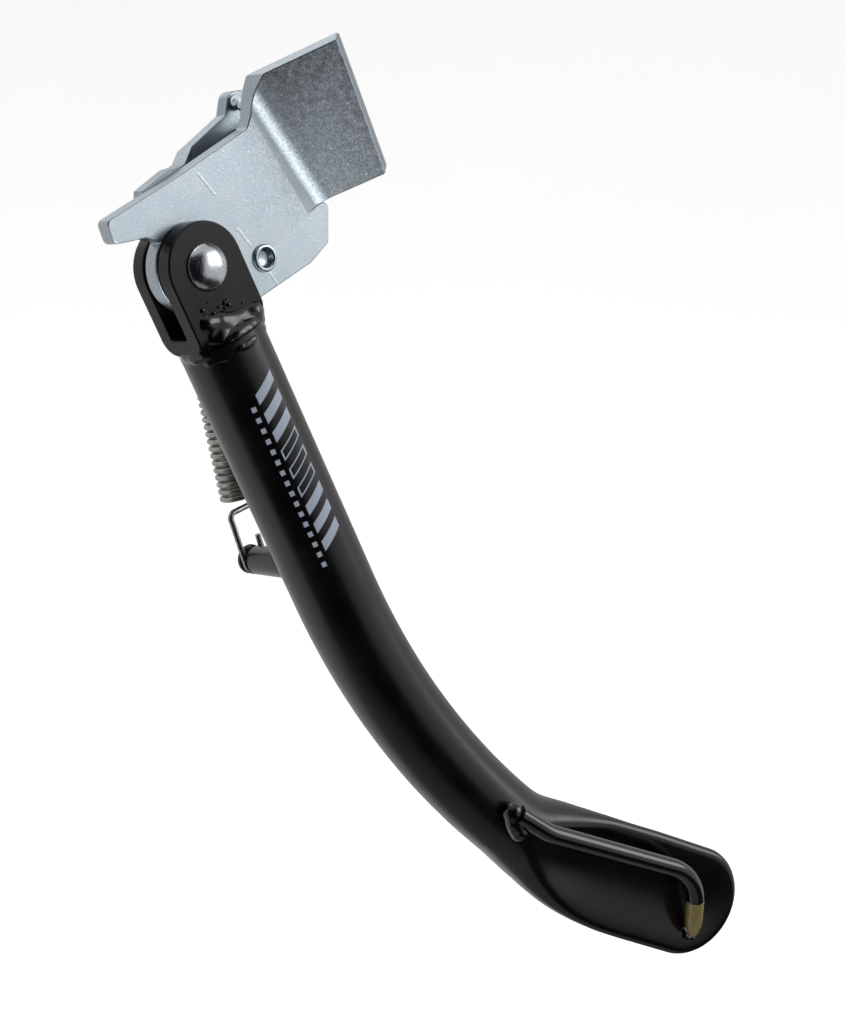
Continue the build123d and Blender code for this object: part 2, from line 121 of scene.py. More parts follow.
def joined_rings(rings, closed=False, caps=True):
    """Points and faces for rings of equal length, each a closed loop of points."""
    size = len(rings[0])
    points = [point for ring in rings for point in ring]
    faces = []
    last = len(rings) if closed else len(rings) - 1
    for row in range(last):
        here, there = row * size, (row + 1) % len(rings) * size
        for k in range(size):
            after = (k + 1) % size
            faces.append((here + k, here + after, there + after, there + k))
    if caps and not closed:
        faces.append(tuple(range(size)))
        faces.append(tuple(range(len(points) - size, len(points))))
    return points, faces


# %% A path with rounded corners
def rounded_path(corners, closed=False, step=0.35):
    """Points of straight runs joined by arcs. Each corner is (point, radius)."""
    points = []
    for place, (corner, radius) in enumerate(corners):
        if radius == 0 or (not closed and place in (0, len(corners) - 1)):
            points.append(corner)
            continue
        before = (corners[place - 1][0] - corner).normalized()
        after = (corners[(place + 1) % len(corners)][0] - corner).normalized()
        half = before.angle(after) / 2
        centre = corner + (before + after).normalized() * (radius / sin(half))
        first = corner + before * (radius / tan(half)) - centre
        last = corner + after * (radius / tan(half)) - centre
        sweep = pi - 2 * half
        count = max(3, ceil(sweep * radius / step))
        for k in range(count + 1):
            share = k / count
            arm = first * sin((1 - share) * sweep) + last * sin(share * sweep)
            points.append(centre + arm / sin(sweep))
    return points


def eased(keys, at):
    """A smooth curve through {place: value}, with level ends."""
    places = sorted(keys)
    if at <= places[0]:
        return keys[places[0]]
    if at >= places[-1]:
        return keys[places[-1]]
    k = max(i for i in range(len(places) - 1) if places[i] <= at)
    left, right = places[k], places[k + 1]

    def slope(i):
        if i in (0, len(places) - 1):
            return 0
        return (keys[places[i + 1]] - keys[places[i - 1]]) / (places[i + 1] - places[i - 1])

    share, run = (at - left) / (right - left), right - left
    return (
        keys[left] * (2 * share**3 - 3 * share**2 + 1)
        + keys[right] * (3 * share**2 - 2 * share**3)
        + slope(k) * run * (share**3 - 2 * share**2 + share)
        + slope(k + 1) * run * (share**3 - share**2)
    )


corner = rounded_path([(Vector((0, 0)), 0), (Vector((9, 0)), 1), (Vector((9, 9)), 0)])
print("a rounded corner has", len(corner) - 2, "points")


# %% [markdown]
# ## Turned pieces
#
# The rivet, the hollow pin, the peg and the nuts are all turned about a line that runs
# front to back. A profile of radius and depth is drawn once and spun round that line. The
# nuts need one thing more: a radius that changes with the angle, for the six flats and for
# the helical thread, so the profile may be a function of the angle.

# %% A turned piece
def turned(name, profile, centre, steps=72, sharp=35):
    """Spins (radius, depth behind the middle plane) in mm about a front-to-back line."""
    rings = []
    for k in range(steps):
        angle = 2 * pi * k / steps
        outline = profile(angle) if callable(profile) else profile
        side = RIGHT * cos(angle) + UP * sin(angle)
        rings.append([centre + (side * radius + BACK * depth) * MM for radius, depth in outline])
    points, faces = joined_rings(rings, closed=True)
    return finished_mesh(name, points, faces, sharp)


def profile_of(*corners):
    """A closed profile from (radius, depth, corner rounding) in mm."""
    return [
        tuple(point)
        for point in rounded_path([(Vector(c[:2]), c[2]) for c in corners], closed=True, step=0.18)
    ]


# %% [markdown]
# ## A softened copy of a CAD piece
#
# Pressed and sheared steel has small rounded edges that catch the light. Where the CAD
# shape is already right, a copy of it is merged, its flat faces are made whole again, and
# a bevel rounds its edges. The copy is then turned into a plain mesh.

# %% Softened copy
def plain(piece):
    """Applies a piece's modifiers, so that its mesh is exactly what is seen."""
    seen = piece.evaluated_get(bpy.context.evaluated_depsgraph_get())
    mesh = bpy.data.meshes.new_from_object(seen)
    piece.modifiers.clear()
    piece.data = mesh
    return piece


def softened(node_name, name, edge, segments=3):
    """A plain copy of a CAD node, with its edges rounded by so many mm."""
    mesh = bpy.data.meshes.new(name)
    shape = bmesh.new()
    shape.from_mesh(frame["nodes"][node_name].data)
    bmesh.ops.remove_doubles(shape, verts=shape.verts, dist=0.01 * MM)
    bmesh.ops.dissolve_limit(
        shape, angle_limit=radians(0.6), verts=shape.verts, edges=shape.edges
    )
    shape.to_mesh(mesh)
    shape.free()
    piece = smooth_piece(name, mesh)
    bevel = piece.modifiers.new("edge", "BEVEL")
    bevel.width, bevel.segments = edge * MM, segments
    bevel.limit_method, bevel.angle_limit = "ANGLE", radians(32)
    bevel.miter_outer = "MITER_ARC"
    bevel.use_clamp_overlap = True
    level = piece.modifiers.new("level faces", "WEIGHTED_NORMAL")
    level.keep_sharp = True
    plain(piece)
    print(name, "has", len(piece.data.polygons), "faces")
    return piece


# %% [markdown]
# ## Where things are on the leg
#
# The leg hangs 29 degrees from straight down. Below the straight part it bends twice in
# one plane, which is turned a little towards the front. Every point of the leg is given by
# how far down the leg it is, and by how far across, so these numbers are kept once.

# %% The line of the leg
LEG_ANGLE = radians(29)
TUBE_RADIUS = 12.5
TUBE_TOP, STRAIGHT_END = 21.0, 106.0  # mm down the leg from the pivot
BENDS = ((258.0, 114.0), (125.0, 32.5))  # radius and length of each bend
BEND_TWIST = radians(16)  # how far the bends' plane is turned towards the front
FLATTENED = STRAIGHT_END + sum(length for radius, length in BENDS)  # the foot is fully flat
EAR_FACE = 8.5  # the clevis, from its middle plane to its outer face

leg_across = RIGHT * cos(LEG_ANGLE) + UP * sin(LEG_ANGLE)
leg_down = RIGHT * sin(LEG_ANGLE) - UP * cos(LEG_ANGLE)
bend_side = leg_across * cos(BEND_TWIST) - BACK * sin(BEND_TWIST)
foot_normal = leg_down.cross(bend_side)


def on_leg(across, along, behind=0.0):
    """A point of the row frame from mm across, down and behind the leg's top part."""
    return PIVOT + (leg_across * across + leg_down * along + BACK * behind) * MM


def leg_line(along):
    """The centre of the leg and its heading, at a distance down it in mm."""
    straight = min(along, STRAIGHT_END)
    down, side, heading, left = straight, 0.0, 0.0, along - straight
    for radius, length in BENDS:
        turn = min(left, length) / radius
        down += radius * (sin(heading + turn) - sin(heading))
        side += radius * (cos(heading) - cos(heading + turn))
        heading += turn
        left -= min(left, length)
    forward = leg_down * cos(heading) + bend_side * sin(heading)
    return PIVOT + (leg_down * down + bend_side * side + forward * left) * MM, forward


foot_start, foot_along = leg_line(FLATTENED)
foot_up = foot_normal.cross(foot_along)


def on_foot(along, up, out):
    """A point of the row frame from mm along the foot, up across it and out of it."""
    return foot_start + (foot_along * along + foot_up * up + foot_normal * out) * MM


print("the flat foot starts at", tuple(round(value, 4) for value in foot_start))

# %% [markdown]
# ## The leg tube
#
# The leg is one length of 25 mm tube. Its lower end is bent and then pressed flat, so the
# tube widens as it thins, a valley forms down its face, and the foot ends in a round,
# dished paddle with a rolled rim. A loft suits it: each ring round the leg has the same
# number of points, spaced evenly round a shape that goes from a circle to a flat pill.
# Geometry is built in Python here, because each ring follows several rules at once.

# %% Rules of the foot
FOOT_STRAIGHT, FOOT_END = 40.5, 19.0  # flat length, and the radius of the round end
WIDTHS = {207: 25.0, 214: 25.9, 222: 28.7, 231: 31.9, 240: 34.5, 250: 36.4, 262: 37.6, 274: 38.0}
HEIGHTS = {203: 25.0, 214: 23.4, 222: 18.6, 231: 13.4, 240: 9.0, 249: 6.0, 258: 4.9, 268: 4.8}
VALLEY_DEPTHS = {212: 0.0, 222: 0.8, 232: 1.6, 242: 1.7, 252: 1.3, 264: 1.1, 290: 1.1}
VALLEY_HALVES = {212: 6.0, 222: 9.5, 232: 12.5, 242: 15.2, 254: 17.0, 290: 17.4}
OFF_CENTRE = {212: 0.0, 226: 0.9, 244: 0.7, 262: 0.0}  # the blade is a little off centre
AROUND = 112  # points in each ring
ROUND_END_RINGS = 30


def pill_point(width, height, share):
    """A point of a pill's outline, a share of the way round it from its right end."""
    radius, flat = height / 2, width - height
    place = share * (2 * flat + 2 * pi * radius)
    for centre, first, run in (
        (flat / 2, 0, radius * pi / 2), (None, 1, flat), (-flat / 2, pi / 2, radius * pi),
        (None, -1, flat), (flat / 2, 3 * pi / 2, radius * pi / 2),
    ):
        if place <= run or centre == flat / 2 and first:
            if centre is None:
                return first * (flat / 2 - place), first * radius
            angle = first + place / radius
            return centre + radius * cos(angle), radius * sin(angle)
        place -= run


def leg_section(along):
    """One ring of the leg: (across, out) in mm for each of its points."""
    beyond = max(0.0, along - FLATTENED - FOOT_STRAIGHT)
    width, height = eased(WIDTHS, along), eased(HEIGHTS, along)
    depth, half = eased(VALLEY_DEPTHS, along), eased(VALLEY_HALVES, along)
    shift = eased(OFF_CENTRE, along)
    narrow = sqrt(max(0.0, 1 - (beyond / FOOT_END) ** 2))
    ring = []
    for k in range(AROUND):
        x, z = pill_point(width, height, k / AROUND)
        x *= narrow
        from_centre = hypot(x, beyond)
        if beyond:
            edge = max(0.0, from_centre - (FOOT_END - height / 2))
            z = (1 if k < AROUND / 2 else -1) * sqrt(max(0.0, (height / 2) ** 2 - edge**2))
        if k < AROUND / 2 and from_centre < half:
            z -= depth * (1 - (from_centre / half) ** 2) ** 2
        ring.append((x + shift, z))
    return ring


# %% Loft the leg
def leg_stations():
    """How far down the leg each ring is, closer together where the shape changes."""
    stations, at = [], TUBE_TOP
    while at < FLATTENED + FOOT_STRAIGHT:
        stations.append(at)
        at += 4.0 if at < STRAIGHT_END - 4 else 2.0 if at < 214 else 1.2
    for k in range(ROUND_END_RINGS):
        stations.append(FLATTENED + FOOT_STRAIGHT + FOOT_END * sin(pi / 2 * k / ROUND_END_RINGS))
    return stations + [FLATTENED + FOOT_STRAIGHT + FOOT_END * 0.9996]


rings = []
for station in leg_stations():
    centre, forward = leg_line(station)
    side = foot_normal.cross(forward)
    rings.append([centre + (side * x + foot_normal * z) * MM for x, z in leg_section(station)])
leg_tube = finished_mesh("painted_leg_tube", *joined_rings(rings), sharp=60)
leg_place = leg_tube.data.attributes.new("leg_place", "FLOAT_VECTOR", "POINT")
for vertex in leg_tube.data.vertices:
    offset = vertex.co - PIVOT
    around = atan2(offset.dot(leg_across), -offset.dot(BACK)) * TUBE_RADIUS
    leg_place.data[vertex.index].vector = (around * MM, offset.dot(leg_down), 0)
print("the leg tube has", len(leg_tube.data.polygons), "faces")

# %% [markdown]
# ## Wire and rod
#
# The spring and the tang are both round bar bent along a path, so one Geometry Nodes tree
# serves them: it runs a circle along a curve, and the curve's own radius gives the taper.
# The bar's thickness and roundness are named inputs of the tree.

# %% Helpers for node trees
def node(tree, kind, inputs=None, **settings):
    """Adds a node. An input that is a socket is linked, and any other is a value."""
    made = tree.nodes.new(kind)
    for key, value in settings.items():
        setattr(made, key, value)
    for key, value in (inputs or {}).items():
        if isinstance(value, bpy.types.NodeSocket):
            tree.links.new(value, made.inputs[key])
        else:
            made.inputs[key].default_value = value
    return made


def maths(tree, operation, first, second=0.0):
    """A number worked out from two numbers."""
    return node(tree, "ShaderNodeMath", {0: first, 1: second}, operation=operation).outputs[0]


def vectors(tree, operation, first, second):
    """A vector worked out from two, or a number for a dot product or a distance."""
    made = node(tree, "ShaderNodeVectorMath", {0: first, 1: second}, operation=operation)
    return made.outputs["Value" if operation in ("DOT_PRODUCT", "DISTANCE") else "Vector"]


def scaled(tree, vector, factor):
    """A vector made longer or shorter."""
    return node(tree, "ShaderNodeVectorMath", {0: vector, "Scale": factor},
                operation="SCALE").outputs[0]


# %% Helpers for geometry trees
def geometry_tree(name, inputs):
    """An empty geometry tree with named inputs {name: (socket kind, value)}."""
    tree = bpy.data.node_groups.new(name, "GeometryNodeTree")
    tree.interface.new_socket("Geometry", in_out="INPUT", socket_type="NodeSocketGeometry")
    tree.interface.new_socket("Geometry", in_out="OUTPUT", socket_type="NodeSocketGeometry")
    for label, (kind, value) in inputs.items():
        made = tree.interface.new_socket(label, in_out="INPUT", socket_type="NodeSocket" + kind)
        if value is not None:
            made.default_value = value
    return tree, node(tree, "NodeGroupInput").outputs


def close_tree(tree, geometry, given):
    """Ends a tree in Realize Instances and Set Material."""
    real = node(tree, "GeometryNodeRealizeInstances", {"Geometry": geometry}).outputs[0]
    painted = node(
        tree, "GeometryNodeSetMaterial", {"Geometry": real, "Material": given["Material"]}
    ).outputs[0]
    node(tree, "NodeGroupOutput", {"Geometry": painted})
    return tree


def grown(name, source, tree, material, values, sharp=60):
    """Runs a tree on a source object and keeps the result as a plain mesh piece."""
    modifier = source.modifiers.new(tree.name, "NODES")
    modifier.node_group = tree
    keys = {item.name: item.identifier for item in tree.interface.items_tree
            if item.in_out == "INPUT"}
    for label, value in {**values, "Material": material}.items():
        modifier[keys[label]] = value
    source.update_tag()
    bpy.context.view_layer.update()
    seen = source.evaluated_get(bpy.context.evaluated_depsgraph_get())
    mesh = bpy.data.meshes.new_from_object(seen)
    bpy.data.objects.remove(source)
    mesh.name = name
    piece = smooth_piece(name, mesh, sharp)
    print(name, "has", len(mesh.polygons), "faces")
    return piece


def drawn(points, radii=None):
    """A curve object through points, with a share of full thickness at each."""
    curve = bpy.data.curves.new("path", "CURVE")
    curve.dimensions = "3D"
    line = curve.splines.new("POLY")
    line.points.add(len(points) - 1)
    for k, point in enumerate(points):
        line.points[k].co = (*point, 1)
        line.points[k].radius = radii[k] if radii else 1
    drawing = bpy.data.objects.new("path", curve)
    bpy.context.scene.collection.objects.link(drawing)
    return drawing


# %% A tree for round bar
bar_tree, given = geometry_tree("round_bar", {
    "Radius": ("Float", 0.9 * MM), "Sides": ("Int", 16), "Material": ("Material", None),
})
circle = node(bar_tree, "GeometryNodeCurvePrimitiveCircle",
              {"Radius": given["Radius"], "Resolution": given["Sides"]}).outputs["Curve"]
thickness = node(bar_tree, "GeometryNodeInputRadius").outputs[0]
swept = node(bar_tree, "GeometryNodeCurveToMesh", {
    "Curve": given["Geometry"], "Profile Curve": circle, "Scale": thickness,
    "Fill Caps": True}).outputs["Mesh"]
close_tree(bar_tree, swept, given)
print("the round bar tree has", len(bar_tree.nodes), "nodes")

# %% [markdown]
# ## Weld beads
#
# A weld is a row of frozen puddles that run into each other. Points spaced along the joint
# each become a small ball of random size, the balls melt into one volume, and a skin is
# laid over it with a little noise. That is a job for Geometry Nodes: one tree makes every
# bead on the object, and only the path and the sizes change.

# %% A tree for weld beads
bead_tree, given = geometry_tree("weld_bead", {
    "Bead radius": ("Float", 2.2 * MM), "Spacing": ("Float", 1.6 * MM),
    "Scatter": ("Float", 0.4 * MM), "Skin": ("Float", 0.4 * MM), "Seed": ("Int", 1),
    "Ripple": ("Float", 0.25 * MM), "Softness": ("Int", 6), "Material": ("Material", None),
})
puddles = node(bead_tree, "GeometryNodeCurveToPoints",
               {"Curve": given["Geometry"], "Length": given["Spacing"]}, mode="LENGTH")
stray = node(bead_tree, "FunctionNodeRandomValue", {
    0: scaled(bead_tree, (-1, -1, -1), given["Scatter"]),
    1: scaled(bead_tree, (1, 1, 1), given["Scatter"]),
    "Seed": given["Seed"]}, data_type="FLOAT_VECTOR").outputs[0]
moved = node(bead_tree, "GeometryNodeSetPosition",
             {"Geometry": puddles.outputs["Points"], "Offset": stray}).outputs[0]
sizes = node(bead_tree, "FunctionNodeRandomValue", {
    2: maths(bead_tree, "MULTIPLY", given["Bead radius"], 0.78),
    3: maths(bead_tree, "MULTIPLY", given["Bead radius"], 1.22),
    "Seed": given["Seed"]}, data_type="FLOAT").outputs[1]
melted = node(bead_tree, "GeometryNodePointsToVolume",
              {"Points": moved, "Voxel Size": given["Skin"], "Radius": sizes},
              resolution_mode="VOXEL_SIZE").outputs[0]
skin = node(bead_tree, "GeometryNodeVolumeToMesh",
            {"Volume": melted, "Voxel Size": given["Skin"]}, resolution_mode="VOXEL_SIZE")
where = node(bead_tree, "GeometryNodeInputPosition").outputs[0]
even = node(bead_tree, "GeometryNodeBlurAttribute",
            {"Value": where, "Iterations": given["Softness"]},
            data_type="FLOAT_VECTOR").outputs["Value"]
melted_skin = node(bead_tree, "GeometryNodeSetPosition",
                   {"Geometry": skin.outputs[0], "Position": even}).outputs[0]
cloud = node(bead_tree, "ShaderNodeTexNoise", {"Scale": 300.0, "Detail": 1.0}).outputs[0]
lift = maths(bead_tree, "MULTIPLY", maths(bead_tree, "SUBTRACT", cloud, 0.5), given["Ripple"])
outward = node(bead_tree, "GeometryNodeInputNormal").outputs[0]
rippled = node(bead_tree, "GeometryNodeSetPosition", {
    "Geometry": melted_skin, "Offset": scaled(bead_tree, outward, lift)}).outputs[0]
close_tree(bead_tree, rippled, given)
print("the weld bead tree has", len(bead_tree.nodes), "nodes")

# %% A tree for weld spatter
spatter_tree, given = geometry_tree("weld_spatter", {
    "Density": ("Float", 90000.0), "Smallest": ("Float", 0.16 * MM),
    "Largest": ("Float", 0.6 * MM), "Seed": ("Int", 1), "Material": ("Material", None),
})
landed = node(spatter_tree, "GeometryNodeDistributePointsOnFaces",
              {"Mesh": given["Geometry"], "Density": given["Density"], "Seed": given["Seed"]})
drop = node(spatter_tree, "GeometryNodeMeshIcoSphere", {"Radius": 1.0, "Subdivisions": 2})
size = node(spatter_tree, "FunctionNodeRandomValue",
            {2: given["Smallest"], 3: given["Largest"], "Seed": given["Seed"]},
            data_type="FLOAT").outputs[1]
drops = node(spatter_tree, "GeometryNodeInstanceOnPoints",
             {"Points": landed.outputs["Points"], "Instance": drop.outputs["Mesh"],
              "Scale": size}).outputs[0]
close_tree(spatter_tree, drops, given)
print("the spatter tree has", len(spatter_tree.nodes), "nodes")

# %% [markdown]
# ## Shared effects for the finishes
#
# Paint, plating and bare steel all have grain, specks and worn patches, at their own
# sizes. Each effect is a shader node group with named inputs, built once and placed in
# each material with its own values. All of them read a place on the object in metres.

# %% Helpers for shader groups
def shader_group(name, inputs, outputs):
    """An empty shader group with {name: (socket kind, value)} and a list of outputs."""
    tree = bpy.data.node_groups.new(name, "ShaderNodeTree")
    for label, (kind, value) in inputs.items():
        made = tree.interface.new_socket(label, in_out="INPUT", socket_type="NodeSocket" + kind)
        if value is not None:
            made.default_value = value
    for label in outputs:
        tree.interface.new_socket(label, in_out="OUTPUT", socket_type="NodeSocketFloat")
    return tree, node(tree, "NodeGroupInput").outputs


def between(tree, value, low, high, to_low=0.0, to_high=1.0):
    """Eases a value from one range to another."""
    return node(tree, "ShaderNodeMapRange",
                {0: value, 1: low, 2: high, 3: to_low, 4: to_high},
                interpolation_type="SMOOTHSTEP").outputs[0]


# %% Grain: soft cloudy variation of one size
grain, given = shader_group("grain", {
    "Place": ("Vector", None), "Size": ("Float", 1 * MM), "Sharpness": ("Float", 0.2),
}, ["Mask"])
scale = maths(grain, "DIVIDE", 1.0, given["Size"])
cloud = node(grain, "ShaderNodeTexNoise",
             {"Vector": given["Place"], "Scale": scale, "Detail": 4.0}).outputs[0]
low = maths(grain, "SUBTRACT", 0.5, given["Sharpness"])
high = maths(grain, "ADD", 0.5, given["Sharpness"])
node(grain, "NodeGroupOutput", {"Mask": between(grain, cloud, low, high)})
print("grain has", len(grain.nodes), "nodes")

# %% Specks: separate round dots, such as dust, sparkle or pits
specks, given = shader_group("specks", {
    "Place": ("Vector", None), "Spacing": ("Float", 1 * MM), "Dot": ("Float", 0.2),
    "Share": ("Float", 0.5),
}, ["Mask"])
scale = maths(specks, "DIVIDE", 1.0, given["Spacing"])
cells = node(specks, "ShaderNodeTexVoronoi", {"Vector": given["Place"], "Scale": scale})
dot = between(specks, cells.outputs["Distance"], given["Dot"], 0.0)
chance = node(specks, "ShaderNodeSeparateColor", {"Color": cells.outputs["Color"]}).outputs[0]
kept = maths(specks, "LESS_THAN", chance, given["Share"])
node(specks, "NodeGroupOutput", {"Mask": maths(specks, "MULTIPLY", dot, kept)})
print("specks have", len(specks.nodes), "nodes")

# %% Scored line: a short straight mark between two places, seen from the front
scored, given = shader_group("scored_line", {
    "Place": ("Vector", None), "From": ("Vector", None), "To": ("Vector", None),
    "Width": ("Float", 0.3 * MM),
}, ["Mask"])
flat_place = vectors(scored, "MULTIPLY", given["Place"], (1, 0, 1))
run = vectors(scored, "SUBTRACT", given["To"], given["From"])
arm = vectors(scored, "SUBTRACT", flat_place, given["From"])
share = node(scored, "ShaderNodeMath", {
    0: vectors(scored, "DOT_PRODUCT", arm, run), 1: vectors(scored, "DOT_PRODUCT", run, run),
}, operation="DIVIDE", use_clamp=True).outputs[0]
away = vectors(scored, "DISTANCE", arm, scaled(scored, run, share))
node(scored, "NodeGroupOutput", {"Mask": between(scored, away, given["Width"], 0.0)})
print("a scored line has", len(scored.nodes), "nodes")

# %% Paint skin: the orange peel of sprayed paint, as a height
skin_group, given = shader_group("paint_skin", {
    "Place": ("Vector", None), "Peel": ("Float", 1.4 * MM), "Flow": ("Float", 9 * MM),
}, ["Height"])
peel = node(skin_group, "ShaderNodeTexNoise", {
    "Vector": given["Place"], "Scale": maths(skin_group, "DIVIDE", 1.0, given["Peel"]),
    "Detail": 1.0}).outputs[0]
flow = node(skin_group, "ShaderNodeTexNoise", {
    "Vector": given["Place"], "Scale": maths(skin_group, "DIVIDE", 1.0, given["Flow"]),
    "Detail": 2.0}).outputs[0]
both = maths(skin_group, "ADD", maths(skin_group, "MULTIPLY", peel, 0.35), flow)
node(skin_group, "NodeGroupOutput", {"Height": both})
print("paint skin has", len(skin_group.nodes), "nodes")


# %% Helpers for materials
def used(tree, group, **values):
    """Places a shared group in a material. Words of an input's name join with _."""
    made = node(tree, "ShaderNodeGroup", node_tree=group)
    for label, value in values.items():
        plug = made.inputs[label.replace("_", " ")]
        if isinstance(value, bpy.types.NodeSocket):
            tree.links.new(value, plug)
        else:
            plug.default_value = value
    return made.outputs[0]


def mixed(tree, mask, first, second):
    """One colour where the mask is 0, and the other where it is 1."""
    return node(tree, "ShaderNodeMix", {0: mask, 6: first, 7: second},
                data_type="RGBA").outputs[2]


def bumped(tree, height, strength, distance, normal=None):
    """A normal bent by a height of so many mm, on top of another normal if one is given."""
    inputs = {"Height": height, "Strength": strength, "Distance": distance * MM}
    if normal is not None:
        inputs["Normal"] = normal
    return node(tree, "ShaderNodeBump", inputs).outputs[0]


def started(name, **constants):
    """A material with one Principled shader, constant values set on its own sockets."""
    material = bpy.data.materials.new(name)
    material.use_nodes = True
    tree = material.node_tree
    tree.nodes.clear()
    surface = node(tree, "ShaderNodeBsdfPrincipled")
    for label, value in constants.items():
        surface.inputs[label.replace("_", " ")].default_value = value
    node(tree, "ShaderNodeOutputMaterial", {"Surface": surface.outputs[0]})
    return material, tree, surface, node(tree, "ShaderNodeTexCoord").outputs["Object"]


def wire_up(tree, surface, **links):
    """Links sockets to a shader's inputs. Words of an input's name join with _."""
    for label, value in links.items():
        tree.links.new(value, surface.inputs[label.replace("_", " ")])


# %% [markdown]
# ## Zinc plating
#
# Bright zinc with a clear bluish passivate is pale and slightly milky, with a fine sparkle
# where the steel under it is grained. The folded flange's front face looks down, away from
# the light, so its shade is painted into the colour: darker and mottled, and painted a
# little lighter towards its lower end. The material reads where the flange's face is from
# an attribute on the bracket, and is otherwise made of the shared grain and specks. The
# press left three short scored lines on the plate, which are a bump between two places each.

# %% Zinc
PRESS_LINES = [((1.7, 25.3), (7.4, 19.9)), ((15.2, 10.9), (19.6, 6.4)),
               ((26.3, -0.9), (29.5, -4.8))]  # mm right of and above the pivot


def on_plate(right, up):
    """A place right of and above the pivot in mm, with no depth."""
    return Vector((PIVOT.x + right * MM, 0, PIVOT.z + up * MM))


def zinc(name, tone=1.0, rough=0.34, painted_flange_shade=False):
    """Bright zinc. With painted_flange_shade, it has the flange's painted shade and the scored
    lines.
    """
    material, tree, surface, place = started(name, Metallic=1.0)
    pale = (0.385 * tone, 0.435 * tone, 0.47 * tone, 1)
    cool = (0.36 * tone, 0.42 * tone, 0.46 * tone, 1)
    cloudy = used(tree, grain, Place=place, Size=7 * MM, Sharpness=0.16)
    fine = used(tree, grain, Place=place, Size=0.5 * MM, Sharpness=0.14)
    sparkle = used(tree, specks, Place=place, Spacing=0.8 * MM, Dot=0.34, Share=0.28)
    colour = mixed(tree, cloudy, cool, pale)
    colour = mixed(tree, maths(tree, "MULTIPLY", fine, 0.24), colour, (0.60, 0.66, 0.70, 1))
    colour = mixed(tree, maths(tree, "MULTIPLY", sparkle, 0.45), colour, (0.96, 0.99, 1, 1))
    roughness = between(tree, fine, 0.0, 1.0, rough + 0.10, rough - 0.06)
    roughness = maths(tree, "SUBTRACT", roughness, maths(tree, "MULTIPLY", sparkle, 0.12))
    height = maths(tree, "ADD", fine, maths(tree, "MULTIPLY", cloudy, 1.5))
    if painted_flange_shade:
        fold = node(tree, "ShaderNodeAttribute", attribute_name="up_the_fold").outputs["Fac"]
        blotch = used(tree, grain, Place=place, Size=1.9 * MM, Sharpness=0.20)
        pits = used(tree, grain, Place=place, Size=0.55 * MM, Sharpness=0.10)
        # Painted shade: the flange's front face is darkened in its colour, with blotches and pits
        # for mottling.
        dark = mixed(tree, blotch, (0.070, 0.080, 0.089, 1), (0.138, 0.154, 0.170, 1))
        dark = mixed(tree, maths(tree, "MULTIPLY", pits, 0.5), dark, (0.024, 0.028, 0.032, 1))
        # Painted light: the flange's colour is a little lighter towards its lower end.
        level = node(tree, "ShaderNodeSeparateXYZ", {0: place}).outputs[2]
        lower = between(tree, level, 0.030, -0.014)
        dark = mixed(tree, maths(tree, "MULTIPLY", lower, 0.30), dark, (0.21, 0.235, 0.255, 1))
        dark = mixed(tree, maths(tree, "MULTIPLY", sparkle, 0.35), dark, (0.42, 0.46, 0.5, 1))
        colour = mixed(tree, fold, colour, dark)
        roughness = maths(tree, "ADD", roughness, maths(tree, "MULTIPLY", fold, 0.08))
    normal = bumped(tree, height, 0.10, 0.05)
    for start, end in PRESS_LINES if painted_flange_shade else ():
        line = used(tree, scored, Place=place, From=on_plate(*start), To=on_plate(*end),
                    Width=0.5 * MM)
        normal = bumped(tree, line, 0.35, 0.12, normal)
    wire_up(tree, surface, Base_Color=colour, Roughness=roughness, Normal=normal)
    return material


zinc_plate = zinc("zinc_plate", painted_flange_shade=True)
zinc_rear = zinc("zinc_rear_plate", tone=0.94, rough=0.38)
zinc_fastener = zinc("zinc_fastener", tone=0.92, rough=0.30)
zinc_pin = zinc("zinc_pin", tone=1.35, rough=0.26)
print("zinc finishes:", zinc_plate.name, zinc_rear.name, zinc_fastener.name, zinc_pin.name)

# %% [markdown]
# ## Black paint
#
# The leg is sprayed with black enamel: nearly smooth, with a faint orange peel, a few
# grains of dust in the coat and a softer shine on the tube than on the foot, where the coat
# is thickest. On the tube there is a pale printed decoration. Here it is only a run of
# slanted bars, some filled and some outlined, beside a row of short dashes, worked out from
# how far a point is round and down the leg.

# %% Paint
PAINT_THICKENS = (-0.190, -0.228)  # m up: the coat goes from thin to thick on the foot


def black_paint(name, rough=0.30, coat=0.25, printed=False, lumpy=0.05, shine=0.5):
    """Black enamel, with a printed decoration where it is asked for."""
    material, tree, surface, place = started(
        name, Coat_Roughness=0.18, IOR=1.5, Coat_Weight=coat, Specular_IOR_Level=shine
    )
    skin_height = used(tree, skin_group, Place=place, Peel=1.3 * MM, Flow=8 * MM)
    cloudy = used(tree, grain, Place=place, Size=14 * MM, Sharpness=0.22)
    dusty = used(tree, specks, Place=place, Spacing=3.2 * MM, Dot=0.055, Share=0.35)
    grit = used(tree, grain, Place=place, Size=0.35 * MM, Sharpness=0.12)
    colour = mixed(tree, cloudy, (0.0020, 0.0019, 0.0022, 1), (0.0040, 0.0038, 0.0042, 1))
    colour = mixed(tree, maths(tree, "MULTIPLY", dusty, 0.5), colour, (0.09, 0.09, 0.09, 1))
    roughness = between(tree, cloudy, 0.0, 1.0, rough - 0.03, rough + 0.05)
    roughness = maths(tree, "ADD", roughness, maths(tree, "MULTIPLY", grit, 0.04))
    level = node(tree, "ShaderNodeSeparateXYZ", {0: place}).outputs[2]
    thick = between(tree, level, *PAINT_THICKENS)
    roughness = maths(tree, "MULTIPLY", roughness, between(tree, thick, 0.0, 1.0, 1.0, 0.60))
    if printed:
        ink = print_mask(tree)
        colour = mixed(tree, ink, colour, (0.50, 0.58, 0.70, 1))
        roughness = maths(tree, "ADD", roughness, maths(tree, "MULTIPLY", ink, 0.12))
    normal = bumped(tree, skin_height, 0.35, lumpy)
    wire_up(tree, surface, Base_Color=colour, Roughness=roughness, Normal=normal)
    return material


